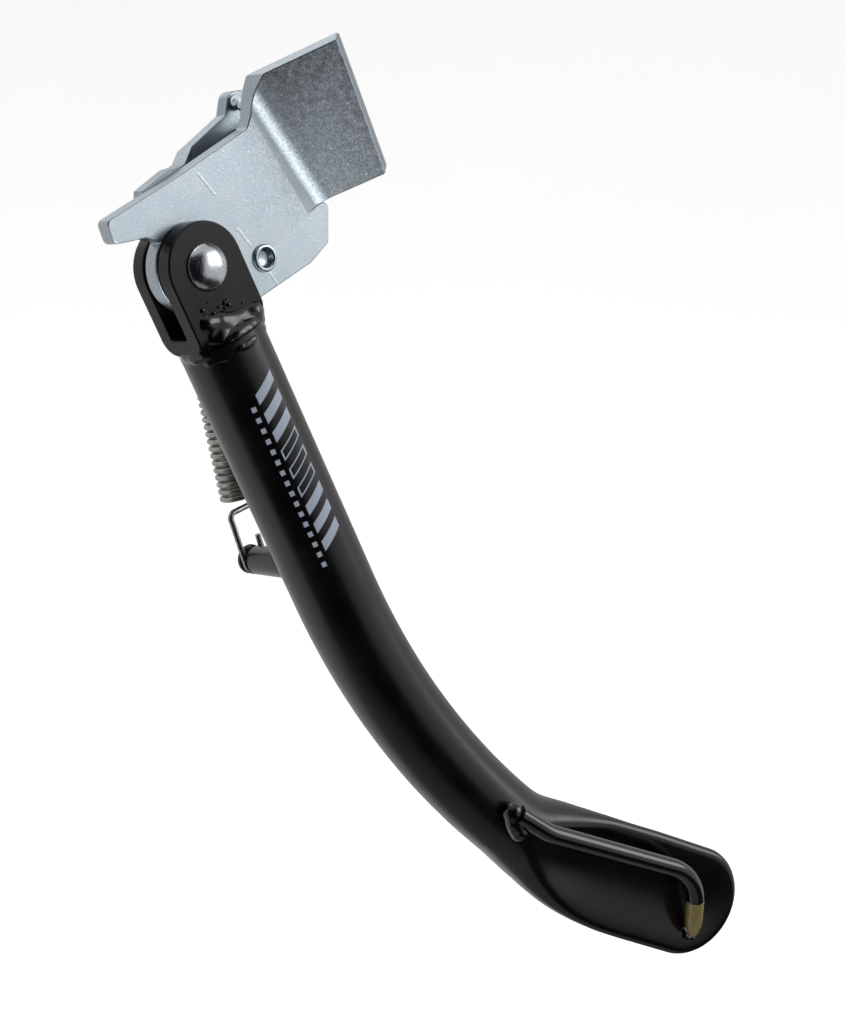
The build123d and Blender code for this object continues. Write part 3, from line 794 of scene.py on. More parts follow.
# %% The printed bars and dashes, in mm round from the front and down from the pivot
EDGE = 0.06  # half the width of the ink's soft edge
BAR_SIDES, BAR_SLANT = (-4.9, 2.6), 0.55
BAR_SPACING, BAR_HALF = 3.0, 1.61  # half of each repeat, and of each bar
OUTLINE, OUTLINE_ENDS = 0.45, 0.5  # the line round a hollow bar
SOLID_ABOVE, HOLLOW, SOLID_BELOW = (33.0, 51.0), (51.0, 69.0), (69.0, 87.0)
DASH_SIDES, DASH_ROW = (-7.6, -6.2), (39.1, 93.5)
DASH_SPACING, DASH_HALF = 1.7, 0.78


def under(tree, value, limit):
    return between(tree, value, limit - EDGE, limit + EDGE, 1.0, 0.0)


def inside(tree, value, low, high):
    over = between(tree, value, low - EDGE, low + EDGE)
    return maths(tree, "MULTIPLY", over, under(tree, value, high))


def print_mask(tree):
    """Slanted bars and a row of dashes, on the front left of the straight tube."""
    place = node(tree, "ShaderNodeAttribute", attribute_name="leg_place").outputs["Vector"]
    parts = node(tree, "ShaderNodeSeparateXYZ", {0: place}).outputs
    across = maths(tree, "MULTIPLY", parts[0], 1 / MM)
    along = maths(tree, "MULTIPLY", parts[1], 1 / MM)
    slanted = maths(tree, "ADD", along, maths(tree, "MULTIPLY", across, BAR_SLANT))
    repeat = maths(tree, "PINGPONG", slanted, BAR_SPACING)
    left, right = BAR_SIDES
    solid = maths(tree, "MULTIPLY", under(tree, repeat, BAR_HALF), inside(tree, across, left, right))
    core = maths(tree, "MULTIPLY", under(tree, repeat, BAR_HALF - OUTLINE),
                 inside(tree, across, left + OUTLINE_ENDS, right - OUTLINE_ENDS))
    hollow = maths(tree, "SUBTRACT", solid, core)
    ends = maths(tree, "MAXIMUM", inside(tree, slanted, *SOLID_ABOVE),
                 inside(tree, slanted, *SOLID_BELOW))
    bars = maths(tree, "ADD", maths(tree, "MULTIPLY", solid, ends),
                 maths(tree, "MULTIPLY", hollow, inside(tree, slanted, *HOLLOW)))
    dash = maths(tree, "MULTIPLY", inside(tree, across, *DASH_SIDES),
                 under(tree, maths(tree, "PINGPONG", along, DASH_SPACING), DASH_HALF))
    row = maths(tree, "MULTIPLY", dash, inside(tree, along, *DASH_ROW))
    return maths(tree, "MAXIMUM", bars, row)


paint_tube = black_paint("black_paint_tube", printed=True)
paint_clevis = black_paint("black_paint_clevis", rough=0.27, coat=0.0, shine=0.32)
paint_weld = black_paint("black_paint_weld", rough=0.2, coat=0.7, lumpy=0.12)
paint_peg = black_paint("black_paint_peg", rough=0.3, coat=0.4, lumpy=0.10)
print("paints:", paint_tube.name, paint_clevis.name, paint_weld.name, paint_peg.name)

# %% [markdown]
# ## A painted reflection at the tang's tip
#
# The tang's tip is ground to a blunt point. Near it, a warm reflection in the glossy paint
# is painted into the colour as a dull yellow patch. The rod has its own copy of the black
# paint, with the painted reflection let in by how far a point is down the rod, and a
# slightly ragged boundary from the shared grain.

# %% Rod paint
# Where the painted reflection near the tip begins and where it is full.
TIP_REFLECTION_FROM, TIP_REFLECTION_FULL = 0.20, 0.23  # a share of the 20 mm before the tip
paint_rod = black_paint("black_paint_rod", rough=0.16, coat=0.6)
tree = paint_rod.node_tree
surface = next(n for n in tree.nodes if n.type == "BSDF_PRINCIPLED")
place = next(n for n in tree.nodes if n.type == "TEX_COORD").outputs["Object"]
towards_tip = node(tree, "ShaderNodeAttribute", attribute_name="towards_tip").outputs["Fac"]
ragged = used(tree, grain, Place=place, Size=1.2 * MM, Sharpness=0.3)
# Painted reflection: the yellow patch near the tip stands for a warm reflection in the glossy paint.
tip_reflection_mask = between(tree, maths(tree, "ADD", towards_tip, maths(tree, "MULTIPLY", ragged, 0.05)),
               TIP_REFLECTION_FROM, TIP_REFLECTION_FULL)
# The dull yellow colour of the painted reflection.
tip_reflection_colour = mixed(tree, ragged, (0.24, 0.185, 0.055, 1), (0.33, 0.26, 0.085, 1))
painted = surface.inputs["Base Color"].links[0].from_socket
shine = surface.inputs["Roughness"].links[0].from_socket
wire_up(tree, surface, Base_Color=mixed(tree, tip_reflection_mask, painted, tip_reflection_colour),
        Roughness=maths(tree, "ADD", shine, maths(tree, "MULTIPLY", tip_reflection_mask, 0.3)))
print("rod paint has", len(tree.nodes), "nodes")

# %% [markdown]
# ## Bare metals
#
# The spring is dull drawn wire, the rivet head is clean polished steel, the bush is bronze,
# and the thrust washers are plain steel. They are one recipe with other values: a colour
# pair, a roughness, and how fine the grain is.

# %% Metals
def metal(name, dark, light, rough, grain_size, specked=0.3, uneven=0.25):
    """Bare metal between two colours, with a grain of so many mm and dirty pits."""
    material, tree, surface, place = started(name, Metallic=1.0)
    cloudy = used(tree, grain, Place=place, Size=grain_size * 6 * MM, Sharpness=0.2)
    fine = used(tree, grain, Place=place, Size=grain_size * MM, Sharpness=0.14)
    pits = used(tree, specks, Place=place, Spacing=1.1 * MM, Dot=0.14, Share=specked)
    colour = mixed(tree, cloudy, (*dark, 1), (*light, 1))
    soiled = (dark[0] * 0.3, dark[1] * 0.3, dark[2] * 0.3, 1)
    colour = mixed(tree, maths(tree, "MULTIPLY", pits, 0.6), colour, soiled)
    roughness = between(tree, fine, 0.0, 1.0, rough - 0.05, rough + 0.08)
    wire_up(tree, surface, Base_Color=colour, Roughness=roughness,
            Normal=bumped(tree, fine, uneven, 0.02))
    return material


polished_steel = metal("polished_steel", (0.66, 0.70, 0.74), (0.76, 0.80, 0.84), 0.20, 0.5,
                       specked=0.0, uneven=0.0)
spring_wire = metal("spring_wire", (0.30, 0.29, 0.265), (0.50, 0.49, 0.46), 0.36, 0.2)
bronze = metal("bush_bronze", (0.45, 0.30, 0.15), (0.62, 0.43, 0.22), 0.34, 0.3)
washer_steel = metal("washer_steel", (0.36, 0.36, 0.36), (0.52, 0.52, 0.52), 0.30, 0.3)
plated_weld = metal("plated_weld", (0.40, 0.47, 0.52), (0.66, 0.73, 0.78), 0.28, 0.5)
print("metals:", polished_steel.name, spring_wire.name, bronze.name, washer_steel.name)


# %% Helper that puts a piece in place
def fitted(piece, material, body, slot, *nodes):
    """Gives a piece its finish and its body, and hides the CAD nodes it stands for."""
    piece.data.materials.clear()
    piece.data.materials.append(material)
    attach(piece, body)
    if nodes:
        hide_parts(*nodes)
    return piece


fitted(leg_tube, paint_tube, "leg", "black_gloss_paint", "leg_tube")

# %% [markdown]
# ## The bracket
#
# The bracket is a 5 mm plate, sheared to its outline and folded forward along one slanting
# line into a flange. Its CAD shape is right, so it is softened. Each corner of each face
# then learns whether it is past the fold and faces the same way as the flange's front,
# which the zinc uses for the flange's painted shade, dark and mottled. The flange's sheared
# edges stay bright.

# %% Bracket
FOLD_SLOPE = radians(-48.7)  # direction of the fold line in the plate
FOLD_START = Vector((30.8, -2.5, 30.0))  # mm from the pivot to a point of the fold line
FLANGE_BEYOND = 12.0  # mm past the fold line, where there is nothing but the flange
# Where the flange's painted shade begins past the fold line, and how far it runs until full.
FLANGE_SHADE_FROM, FLANGE_SHADE_RUN = 3.0, 2.4  # mm past the fold line

bracket = softened("bracket_plate", "zinc_bracket", 0.7)
fold_across = RIGHT * -sin(FOLD_SLOPE) + UP * cos(FOLD_SLOPE)
fold_start = PIVOT + FOLD_START * MM
flange = max((face for face in bracket.data.polygons if face.normal.y < 0
              and (face.center - fold_start).dot(fold_across) > FLANGE_BEYOND * MM),
             key=lambda face: face.area)
# up_the_fold is the mask of the flange's painted shade, read by the zinc.
up_the_fold = bracket.data.attributes.new("up_the_fold", "FLOAT", "CORNER")
for face in bracket.data.polygons:
    faces_front = min(1.0, max(0.0, (face.normal.dot(flange.normal) - 0.80) / 0.15))
    for corner in face.loop_indices:
        point = bracket.data.vertices[bracket.data.loops[corner].vertex_index].co
        beyond = (point - fold_start).dot(fold_across) / MM
        risen = min(1.0, max(0.0, (beyond - FLANGE_SHADE_FROM) / FLANGE_SHADE_RUN))
        up_the_fold.data[corner].value = faces_front * risen
fitted(bracket, zinc_plate, "bracket", "zinc_plate", "bracket_plate")

# %% Rear plate and its bead
rear = softened("rear_plate", "zinc_rear_plate", 0.6)
fitted(rear, zinc_rear, "bracket", "zinc_plate", "rear_plate")
top_corner = [PIVOT + Vector(point) * MM
              for point in ((24.4, 2.6, 43.8), (24.9, 6.5, 46.0), (25.4, 10.5, 47.6))]
rear_bead = grown("rear_plate_bead", drawn(top_corner), bead_tree, plated_weld, {
    "Bead radius": 1.9 * MM, "Spacing": 1.1 * MM, "Seed": 4, "Skin": 0.3 * MM,
    "Scatter": 0.3 * MM})
fitted(rear_bead, plated_weld, "bracket", "bare_weld", "rear_plate_weld")

# %% [markdown]
# ## The weld nuts
#
# Two nuts are welded between the plates, for the bolts that hold the bracket to the frame.
# A nut is turned, with two things that change round it: the outside goes in and out for
# the six flats, and the bore has a thread, which is a groove that advances as it goes
# round. Both are rules of the angle, so the profile is a function.

# %% Weld nuts
THREAD_PITCH, THREAD_DEPTH = 1.25, 0.55
BORE_RADIUS, BORE_MOUTH, BORE_STEPS = 3.42, 5.6, 88
NUT_FLATS, SPIGOT_RADIUS, CHAMFER = 13.0, 4.98, 0.35
NUT_FRONT, NUT_SHOULDER, NUT_BACK = 5.0, 11.5, 16.0  # behind the middle plane
NUTS = {"upper": (31.0, 36.0), "lower": (34.0, 13.0)}  # mm right of and above the pivot


def nut_profile(angle):
    """Hexagon, spigot and threaded bore of a weld nut, at one angle."""
    facet = (angle + pi / 6) % (pi / 3) - pi / 6
    flat = NUT_FLATS / 2 / cos(facet)
    chamfered = min(flat, NUT_FLATS / 2 + CHAMFER)
    outer = [(BORE_MOUTH, NUT_FRONT), (chamfered, NUT_FRONT),
             (flat, NUT_FRONT + flat - chamfered + 0.2), (flat, NUT_SHOULDER - 0.2),
             (flat - 0.2, NUT_SHOULDER), (SPIGOT_RADIUS, NUT_SHOULDER),
             (SPIGOT_RADIUS, NUT_BACK - 0.4), (SPIGOT_RADIUS - 0.38, NUT_BACK)]
    bore = []
    for k in range(BORE_STEPS + 1):
        depth = NUT_BACK - (NUT_BACK - NUT_FRONT) * k / BORE_STEPS
        wave = ((depth / THREAD_PITCH + angle / (2 * pi)) % 1.0) * 2 - 1
        groove = max(0.0, min(1.0, 1.15 * (1 - abs(wave)) - 0.1))
        bore.append((BORE_RADIUS + THREAD_DEPTH * groove, depth))
    return outer + bore


for label, (x, z) in NUTS.items():
    nut = turned(label + "_weld_nut", nut_profile, PIVOT + Vector((x, 0, z)) * MM, 72, sharp=28)
    nodes = ["frame_nuts"] if label == "upper" else []
    fitted(nut, zinc_fastener, "bracket", "zinc_fastener", *nodes)
    print(nut.name, "has", len(nut.data.polygons), "faces")

# %% [markdown]
# ## The hollow pin
#
# The spring's upper end hangs on a pin that is riveted through both plates. Its front end
# is rolled over like an eyelet, and its back end has a groove and a collar for the hook.

# %% Hollow pin and its rolled rim
ANCHOR = PIVOT + Vector((24.3, 0, 3.2)) * MM
PIN_RADIUS, PIN_NECK, PIN_BORE = 3.5, 2.7, 2.45
GROOVE_FRONT, GROOVE_BACK, PIN_END = 31.6, 34.6, 36.8  # behind the middle plane
pin = turned("spring_anchor_pin_turned", profile_of(
    (0.0, -1.2, 0), (PIN_BORE, -1.5, 0.6), (PIN_BORE, -2.8, 0), (2.65, -3.3, 0.2),
    (3.1, -3.55, 0.3), (3.7, -3.5, 0.35), (3.95, -3.0, 0.3), (3.85, -2.5, 0.1),
    (PIN_RADIUS, -2.5, 0.1), (PIN_RADIUS, GROOVE_FRONT, 0.3), (PIN_NECK, GROOVE_FRONT, 0.3),
    (PIN_NECK, GROOVE_BACK, 0.3), (PIN_RADIUS, GROOVE_BACK, 0.3), (PIN_RADIUS, PIN_END, 0.8),
    (0.0, PIN_END, 0),
), ANCHOR)
fitted(pin, zinc_pin, "bracket", "zinc_fastener", "spring_anchor_pin")

# %% [markdown]
# ## The rivet
#
# The rivet's head is a low polished dome, a little flatter than a ball, with a rounded rim
# that sits on the painted ear. Its tail was closed over by a press, so it is flatter, with
# a softly rounded rim.

# %% Rivet
HEAD_RADIUS, HEAD_HEIGHT = 6.6, 3.2
TAIL_RADIUS, TAIL_HEIGHT = 6.0, 2.2
SHANK_RADIUS, DOME_STEPS = 4.5, 18
dome = []
for k in range(DOME_STEPS + 1):
    lean = pi / 2 * k / DOME_STEPS
    dome.append((HEAD_RADIUS * sin(lean) ** 0.96, -EAR_FACE - HEAD_HEIGHT * cos(lean) ** 1.08))
tail_back = EAR_FACE + TAIL_HEIGHT
tail = profile_of((SHANK_RADIUS, EAR_FACE, 0), (TAIL_RADIUS, EAR_FACE, 0.3),
                  (TAIL_RADIUS, tail_back, 1.5), (3.2, tail_back, 0.4),
                  (2.9, tail_back - 0.5, 0.3), (0.0, tail_back - 0.6, 0))
rivet = turned("pivot_rivet_turned", dome + [(SHANK_RADIUS, -EAR_FACE)] + tail, PIVOT, 96)
print("the rivet is", round(HEAD_HEIGHT + EAR_FACE + tail_back, 1), "mm from end to end")
fitted(rivet, polished_steel, "leg", "zinc_fastener", "pivot_rivet")

# %% [markdown]
# ## The clevis and its weld
#
# A strap bent to a U makes the two ears, and it is welded into the top of the tube. The
# strap is softened from the CAD with a generous edge, because thick paint rounds it. The
# weld runs round its foot, climbs the faces of the ears and swells at one corner, and drops
# of spatter lie above it. Paint has filled the ripples, so the beads are large and soft.

# %% Clevis
clevis = softened("leg_clevis", "painted_clevis", 1.1, 4)
fitted(clevis, paint_clevis, "leg", "black_gloss_paint", "leg_clevis")


# %% Beads of the clevis weld
def ring_on_leg(radius, along, depth, climb, wave):
    """A ring round the leg, flatter on the ears' faces, where it climbs, and uneven."""
    points = []
    for k in range(73):
        angle = 2 * pi * k / 72
        rise = wave * sin(3 * angle + 0.6) - climb * sin(angle) ** 2
        points.append(on_leg(radius * cos(angle), along + rise, -depth * sin(angle)))
    return points


weld_runs = {  # path, bead radius, spacing
    "toe": (ring_on_leg(11.0, 23.6, 11.0, 0.0, 0.5), 2.1, 2.2),
    "waist": (ring_on_leg(10.2, 21.6, 8.6, 1.0, 0.4), 3.0, 3.0),
    "front": ([on_leg(-7.6, 13.6, -6.6), on_leg(-2.2, 15.6, -6.7), on_leg(3.0, 17.0, -6.8),
               on_leg(8.4, 17.4, -6.4), on_leg(8.8, 21.2, -6.4), on_leg(3.6, 20.6, -7.2),
               on_leg(-1.8, 19.8, -7.2), on_leg(-7.2, 18.2, -6.8)], 3.3, 2.4),
    "back": ([on_leg(-7.6, 19.6, 6.9), on_leg(0.0, 20.6, 7.0), on_leg(8.4, 20.0, 6.6)], 2.9, 2.7),
    "corner": ([on_leg(10.2, 15.6, -4.4), on_leg(10.9, 18.4, -5.0), on_leg(11.2, 22.6, -3.6)],
               2.7, 3.3),
}
for number, (run, (path, bead, spacing)) in enumerate(weld_runs.items()):
    piece = grown("clevis_bead_" + run, drawn(path), bead_tree, paint_weld, {
        "Bead radius": bead * MM, "Spacing": spacing * MM, "Scatter": 0.3 * MM,
        "Seed": 10 + number, "Skin": 0.4 * MM, "Ripple": 0.25 * MM, "Softness": 30})
    nodes = ["clevis_weld"] if run == "toe" else []
    fitted(piece, paint_weld, "leg", "black_gloss_paint", *nodes)

# %% Spatter on the ears
def patch(points):
    """A flat four-cornered patch for a tree to scatter on."""
    mesh = bpy.data.meshes.new("patch")
    mesh.from_pydata(points, [], [(0, 1, 2, 3)])
    made = bpy.data.objects.new("patch", mesh)
    bpy.context.scene.collection.objects.link(made)
    return made


front_patch = patch([on_leg(-9, 6.5, -EAR_FACE), on_leg(8.5, 12.5, -EAR_FACE),
                     on_leg(8.5, 15.5, -EAR_FACE), on_leg(-9, 11.5, -EAR_FACE)])
drops = grown("ear_spatter", front_patch, spatter_tree, paint_weld, {
    "Density": 130000.0, "Smallest": 0.25 * MM, "Largest": 0.8 * MM, "Seed": 7})
fitted(drops, paint_weld, "leg", "black_gloss_paint")

# %% [markdown]
# ## The peg
#
# The spring's lower end hooks over a peg welded to the back of the leg. It is turned, with
# a groove and a rounded collar, and painted with the leg.

# %% Peg
PEG_ON_LEG = Vector((PEG.x, PIVOT.y, PEG.z))
PEG_RADIUS, PEG_NECK, PEG_ROOT = 4.5, 2.4, 11.5
peg = turned("spring_peg_turned", profile_of(
    (0.0, PEG_ROOT, 0), (PEG_RADIUS, PEG_ROOT, 0), (PEG_RADIUS, GROOVE_FRONT, 0.6),
    (PEG_NECK, GROOVE_FRONT, 0.5), (PEG_NECK, GROOVE_BACK, 0.5),
    (PEG_RADIUS, GROOVE_BACK, 0.6), (PEG_RADIUS, PIN_END, 1.4), (0.0, PIN_END, 0),
), PEG_ON_LEG)
fitted(peg, paint_peg, "leg", "black_gloss_paint", "spring_peg")

# %% Bead round the peg's root
root = []
for k in range(37):
    angle = pi * k / 18
    ring = (RIGHT * cos(angle) + UP * sin(angle)) * (PEG_RADIUS + 0.5)
    root.append(PEG_ON_LEG + (ring + BACK * (PEG_ROOT + 0.7 - 0.9 * cos(angle) ** 2)) * MM)
peg_bead = grown("peg_bead", drawn(root), bead_tree, paint_weld, {
    "Bead radius": 1.5 * MM, "Spacing": 1.4 * MM, "Scatter": 0.25 * MM, "Seed": 21,
    "Skin": 0.3 * MM})
fitted(peg_bead, paint_weld, "leg", "black_gloss_paint", "peg_weld")

# %% [markdown]
# ## The tang
#
# The rider pushes the stand down with the tang: a 6 mm rod that is welded above the foot,
# runs down beside it with a gentle knee, then turns across the foot to a blunt tip. It
# goes through the bar tree, and its tip is drawn in by the radius of the last points.

# %% Tang rod
ROD_RADIUS, TAPER, TAPER_STEPS = 3.0, 9.0, 14
TIP_RUN = 20.0  # mm before the tip over which the painted reflection is let in
tang_corners = [(on_foot(-50.0, 12.5, 15.1), 0), (on_foot(-36.0, 9.8, 14.9), 24 * MM),
                (on_foot(30.0, 11.2, 11.2), 22 * MM), (on_foot(44.5, -10.6, 4.6), 0)]
line = rounded_path(tang_corners, step=0.5 * MM)
tip, before_tip = line[-1], (line[-2] - line[-1]).normalized()
line = line[:-1] + [tip + before_tip * (TAPER * MM * (1 - k / TAPER_STEPS))
                    for k in range(TAPER_STEPS)] + [tip]
radii = []
for point in line:
    left = (point - tip).length / MM
    radii.append(max(0.02, (1 - max(0.0, 1 - left / TAPER) ** 2.1) ** 0.62))
rod = grown("tang_rod_bent", drawn(line, radii), bar_tree, paint_rod,
            {"Radius": ROD_RADIUS * MM, "Sides": 40})
down_rod = rod.data.attributes.new("towards_tip", "FLOAT", "POINT")
for vertex in rod.data.vertices:
    on_tip_run = (vertex.co - tip).dot(before_tip) / MM
    down_rod.data[vertex.index].value = max(0.0, 1 - on_tip_run / TIP_RUN)
fitted(rod, paint_rod, "leg", "black_gloss_paint", "tang_rod")

# %% Tang welds
blob = [on_foot(-52.0, 12.6, 13.8), on_foot(-50.6, 10.2, 14.4), on_foot(-48.6, 8.0, 13.4),
        on_foot(-46.0, 7.2, 12.8)]
tang_bead = grown("tang_bead", drawn(blob), bead_tree, paint_weld, {
    "Bead radius": 3.6 * MM, "Spacing": 1.6 * MM, "Scatter": 0.3 * MM, "Seed": 31,
    "Skin": 0.36 * MM, "Ripple": 0.4 * MM, "Softness": 20})
fitted(tang_bead, paint_weld, "leg", "black_gloss_paint", "tang_weld")
tack = [on_foot(42.3, -9.8, 1.4), on_foot(44.3, -12.4, 1.3), on_foot(47.4, -11.8, 1.3)]
tip_bead = grown("tang_tip_bead", drawn(tack), bead_tree, paint_weld, {
    "Bead radius": 1.35 * MM, "Spacing": 1.0 * MM, "Scatter": 0.2 * MM, "Seed": 35,
    "Skin": 0.24 * MM, "Ripple": 0.3 * MM})
fitted(tip_bead, paint_weld, "leg", "black_gloss_paint", "tang_tip_weld")

# %% [markdown]
# ## The spring
#
# The spring is one 1.8 mm wire: a hook round the peg, a sharp bend in to the coil, about
# two dozen turns, and the same again at the top. The path is a rule, so it is worked out:
# the helix and the two hooks in the spring's own plane.

# %% The spring's hooks
WIRE, COIL_MEAN, HOOK = 0.9, 5.6, 19.3  # wire and coil radii, and pin centre to coil
TURNS, PER_TURN = 23.5, 40
HOOK_CLEARANCE, FREE_END = 0.35, 6.8
UPPER_END = ANCHOR + Vector((0, PEG.y - ANCHOR.y, 0))
spring_side = BACK.cross(SPRING_AXIS)
if spring_side.x < 0:
    spring_side.negate()
length = (UPPER_END - PEG).length / MM
print("the spring is", round(length, 2), "mm between its pins, with", TURNS, "turns")


def hook_points(bow):
    """The hook in its plane: from its free end round the pin and up to the coil."""
    reach = hypot(COIL_MEAN, HOOK)
    tangent = atan2(HOOK, -COIL_MEAN) + acos(bow / reach)
    bottom = [Vector((cos(tangent + radians(a)), sin(tangent + radians(a)))) * bow
              for a in range(0, 186, 6)]
    free = bottom[-1] + Vector((-sin(tangent + pi), cos(tangent + pi))) * FREE_END
    neck = rounded_path([(bottom[0], 0), (Vector((-COIL_MEAN - 0.1, HOOK - 3.1)), 1.9),
                         (Vector((COIL_MEAN - 0.6, HOOK - 2.3)), 1.2),
                         (Vector((COIL_MEAN, HOOK)), 0)], step=0.25)
    return [free] + bottom[::-1] + neck[1:]


def in_spring(centre, flip, point):
    """A point of a hook's plane in the row frame, turned over for the upper hook."""
    x, y = point
    return centre + (spring_side * x + SPRING_AXIS * y) * (flip * MM)


# %% The wire from end to end
lower = [in_spring(PEG, 1, p) for p in hook_points(PEG_NECK + HOOK_CLEARANCE + WIRE)]
upper = [in_spring(UPPER_END, -1, p) for p in hook_points(PIN_NECK + HOOK_CLEARANCE + WIRE)]
coil = []
count = int(TURNS * PER_TURN)
for k in range(count + 1):
    angle = 2 * pi * k / PER_TURN
    rise = HOOK + WIRE * 0.4 + (length - 2 * HOOK - WIRE * 0.8) * k / count
    coil.append(PEG + (spring_side * COIL_MEAN * cos(angle) + SPRING_AXIS * rise
                       + BACK * COIL_MEAN * sin(angle)) * MM)
spring = grown("spring_wire_coil", drawn(lower + coil + upper[::-1]), bar_tree,
               spring_wire, {"Radius": WIRE * MM, "Sides": 12})
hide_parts("spring_coil", "spring_lower_hook", "spring_upper_hook")
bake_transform(spring)

# %% [markdown]
# ## Pieces kept from the CAD
#
# The bush and the two thrust washers are plain turned rings between the ears, and their
# CAD shapes are right, so they only get their metals.

# %% Bush and washers
for name, material in {"pivot_bush": bronze, "front_thrust_washer": washer_steel,
                       "rear_thrust_washer": washer_steel}.items():
    kept = frame["nodes"][name]
    kept.data.materials.clear()
    kept.data.materials.append(material)
    print(name, "is", material.name)

# %% [markdown]
# ## Floor, light and camera
#
# A studio sweep: a pale floor that curves up into a pale wall. The room is bright above
# and on the left, dim low down on the right, and dark behind the camera, which puts the
# dark band down the middle of the shiny black tube. A bright panel on the right makes the
# tube's long highlight. There are two lamps: a weak one above, and a small one that lights
# only the bracket, from low in front, so that the flange's shaded face isn't lost. The
# floor is left out of reflections, so the shine of the black paint is made by the room.

# %% Camera
camera_place = Vector((-0.35984, -0.47089, -0.05545))
looking = Vector((0.67187, 0.73580, -0.08476))
camera = bpy.data.objects.new("camera", bpy.data.cameras.new("camera"))
bpy.context.scene.collection.objects.link(camera)
camera.location = camera_place
camera.rotation_euler = looking.to_track_quat("-Z", "Y").to_euler()
camera.data.lens, camera.data.sensor_width = 71.38, 36.0
camera.data.clip_start, camera.data.clip_end = 0.01, 50
bpy.context.scene.camera = camera
bpy.context.scene.view_settings.view_transform = "Standard"
print("the camera is", round((camera_place - PIVOT).length, 3), "m from the rivet")

# %% Floor and wall
FLOOR = cad_low.z - 0.030
ahead = Vector((looking.x, looking.y, 0)).normalized()
aside = Vector((ahead.y, -ahead.x, 0))
FLOOR_FRONT, WALL, WALL_TOP, HALF_WIDTH = -4.0, 2.2, 3.5, 4.5  # m from the origin
sweep_line = rounded_path([(Vector((FLOOR_FRONT, FLOOR)), 0), (Vector((WALL, FLOOR)), 1.2),
                           (Vector((WALL, WALL_TOP)), 0)], step=0.08)
points, faces = [], []
for distance, height in sweep_line:
    for side in (-HALF_WIDTH, HALF_WIDTH):
        points.append(ahead * distance + aside * side + UP * height)
for k in range(len(sweep_line) - 1):
    faces.append((2 * k, 2 * k + 1, 2 * k + 3, 2 * k + 2))
sweep_mesh = bpy.data.meshes.new("studio_sweep")
sweep_mesh.from_pydata(points, [], faces)
floor = smooth_piece("studio_sweep", sweep_mesh)

# %% Paper of the floor and wall
material, tree, surface, place = started("studio_paper", Roughness=0.9, Emission_Strength=0.62)
paper = used(tree, grain, Place=place, Size=0.4, Sharpness=0.4)
rays = node(tree, "ShaderNodeLightPath").outputs
lit_paper = mixed(tree, rays["Is Camera Ray"], (0.0, 0.0, 0.0, 1), (1.0, 1.0, 1.0, 1))
wire_up(tree, surface, Emission_Color=lit_paper,
        Base_Color=mixed(tree, paper, (0.84, 0.84, 0.84, 1), (0.87, 0.87, 0.87, 1)))
clear = node(tree, "ShaderNodeBsdfTransparent").outputs[0]
sheet = node(tree, "ShaderNodeMixShader", {0: rays["Is Glossy Ray"], 1: surface.outputs[0],
                                           2: clear}).outputs[0]
output = next(n for n in tree.nodes if n.type == "OUTPUT_MATERIAL")
tree.links.new(sheet, output.inputs["Surface"])
floor.data.materials.append(material)
floor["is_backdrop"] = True
print("the floor is at", round(FLOOR, 3), "m")

# %% Room, by the turn from the camera to its right and by the height of a direction
DARK_TURNS, DARK_HEIGHTS = (-62, -44, 42, 60), (-0.90, -0.80, 0.55, 0.80)
PANEL_TURNS, PANEL_HEIGHTS = (62, 72, 100, 110), (0.04, 0.16, 0.5, 0.6)


def band(tree, value, start, full, fade, end):
    """1 between full and fade, and 0 before start and after end."""
    return maths(tree, "MULTIPLY", between(tree, value, start, full),
                 between(tree, value, fade, end, 1.0, 0.0))


def area(tree, turn, turns, height, heights):
    """A soft-edged rectangle of the room, from turns in degrees and heights."""
    return maths(tree, "MULTIPLY", band(tree, turn, *(radians(value) for value in turns)),
                 band(tree, height, *heights))


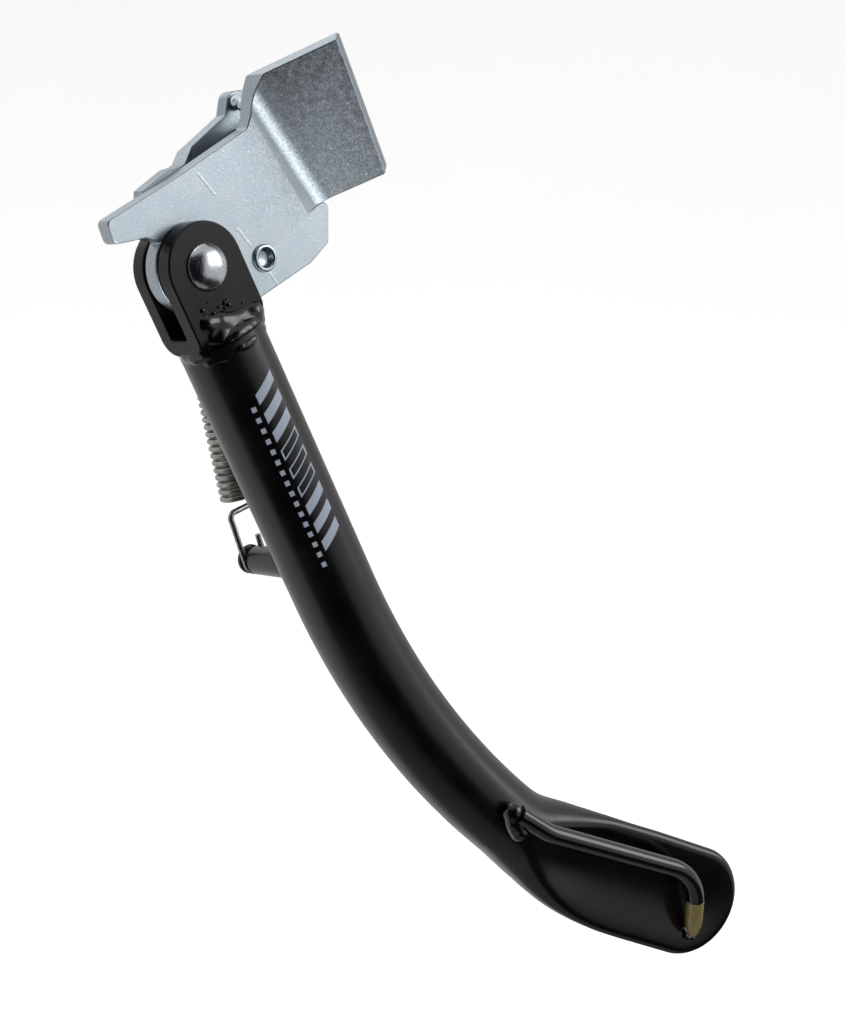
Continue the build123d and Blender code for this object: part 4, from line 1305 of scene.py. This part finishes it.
world = bpy.data.worlds.new("studio")
bpy.context.scene.world = world
world.use_nodes = True
tree = world.node_tree
tree.nodes.clear()
direction = node(tree, "ShaderNodeTexCoord").outputs["Generated"]
turn = maths(tree, "ARCTAN2", vectors(tree, "DOT_PRODUCT", direction, tuple(aside)),
             vectors(tree, "DOT_PRODUCT", direction, tuple(-ahead)))
height = node(tree, "ShaderNodeSeparateXYZ", {0: direction}).outputs[2]
right_wall = between(tree, height, -0.47, -0.32, 0.02, 0.50)
sides = between(tree, turn, radians(-50), radians(-40), 0.70, right_wall)
above_floor = between(tree, height, *DARK_HEIGHTS[:2])
wall = mixed(tree, above_floor, (0.22, 0.22, 0.22, 1), sides)
panel = area(tree, turn, PANEL_TURNS, height, PANEL_HEIGHTS)
wall = mixed(tree, panel, wall, (3.2, 3.2, 3.25, 1))
dark = area(tree, turn, DARK_TURNS, height, DARK_HEIGHTS)
glow = mixed(tree, dark, wall, (0.006, 0.006, 0.008, 1))
seen = node(tree, "ShaderNodeLightPath").outputs["Is Camera Ray"]
glow = mixed(tree, seen, glow, (1.0, 1.0, 1.0, 1))
sky = node(tree, "ShaderNodeBackground", {"Color": glow, "Strength": 1.0})
node(tree, "ShaderNodeOutputWorld", {"Surface": sky.outputs[0]})
print("the room's light has", len(tree.nodes), "nodes")


# %% Lights
def soft_light(name, aim, toward, distance, size, watts):
    """A square area light at a distance from a place, and facing it."""
    light = bpy.data.lights.new(name, "AREA")
    light.shape, light.size, light.energy = "SQUARE", size, watts
    lamp = bpy.data.objects.new(name, light)
    bpy.context.scene.collection.objects.link(lamp)
    lamp.location = aim + toward * distance
    lamp.rotation_euler = (-toward).to_track_quat("-Z", "Y").to_euler()
    return lamp


TOP_TURN, TOP_RISE = radians(-120), radians(65)  # from the camera, and from level
from_above = -ahead * cos(TOP_TURN) + aside * sin(TOP_TURN)
from_above = from_above * cos(TOP_RISE) + UP * sin(TOP_RISE)
middle_of_leg = PIVOT + Vector((50, 0, -80)) * MM
soft_light("top", middle_of_leg, from_above, 1.2, 1.2, 3.0)
fold_middle = PIVOT + Vector((38, -4, 37)) * MM
low_in_front = Vector((-0.08, -0.64, -0.76)).normalized()
fold_fill = soft_light("fold_fill", fold_middle, low_in_front, 0.28, 0.34, 0.95)
fold_fill.visible_camera = False
lit = bpy.data.collections.new("lit_by_fold_fill")
lit.objects.link(bracket)
fold_fill.light_linking.receiver_collection = lit

# %% [markdown]
# ## Measure and finish
#
# The visual model's box is measured against the CAD box, and how far it goes past the CAD
# box on each side is printed, in mm.

# %% Finish
low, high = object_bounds()
print("over the CAD box by", [round(max(a - b, c - d) / MM, 2)
                              for a, b, c, d in zip(cad_low, low, high, cad_high)], "mm")
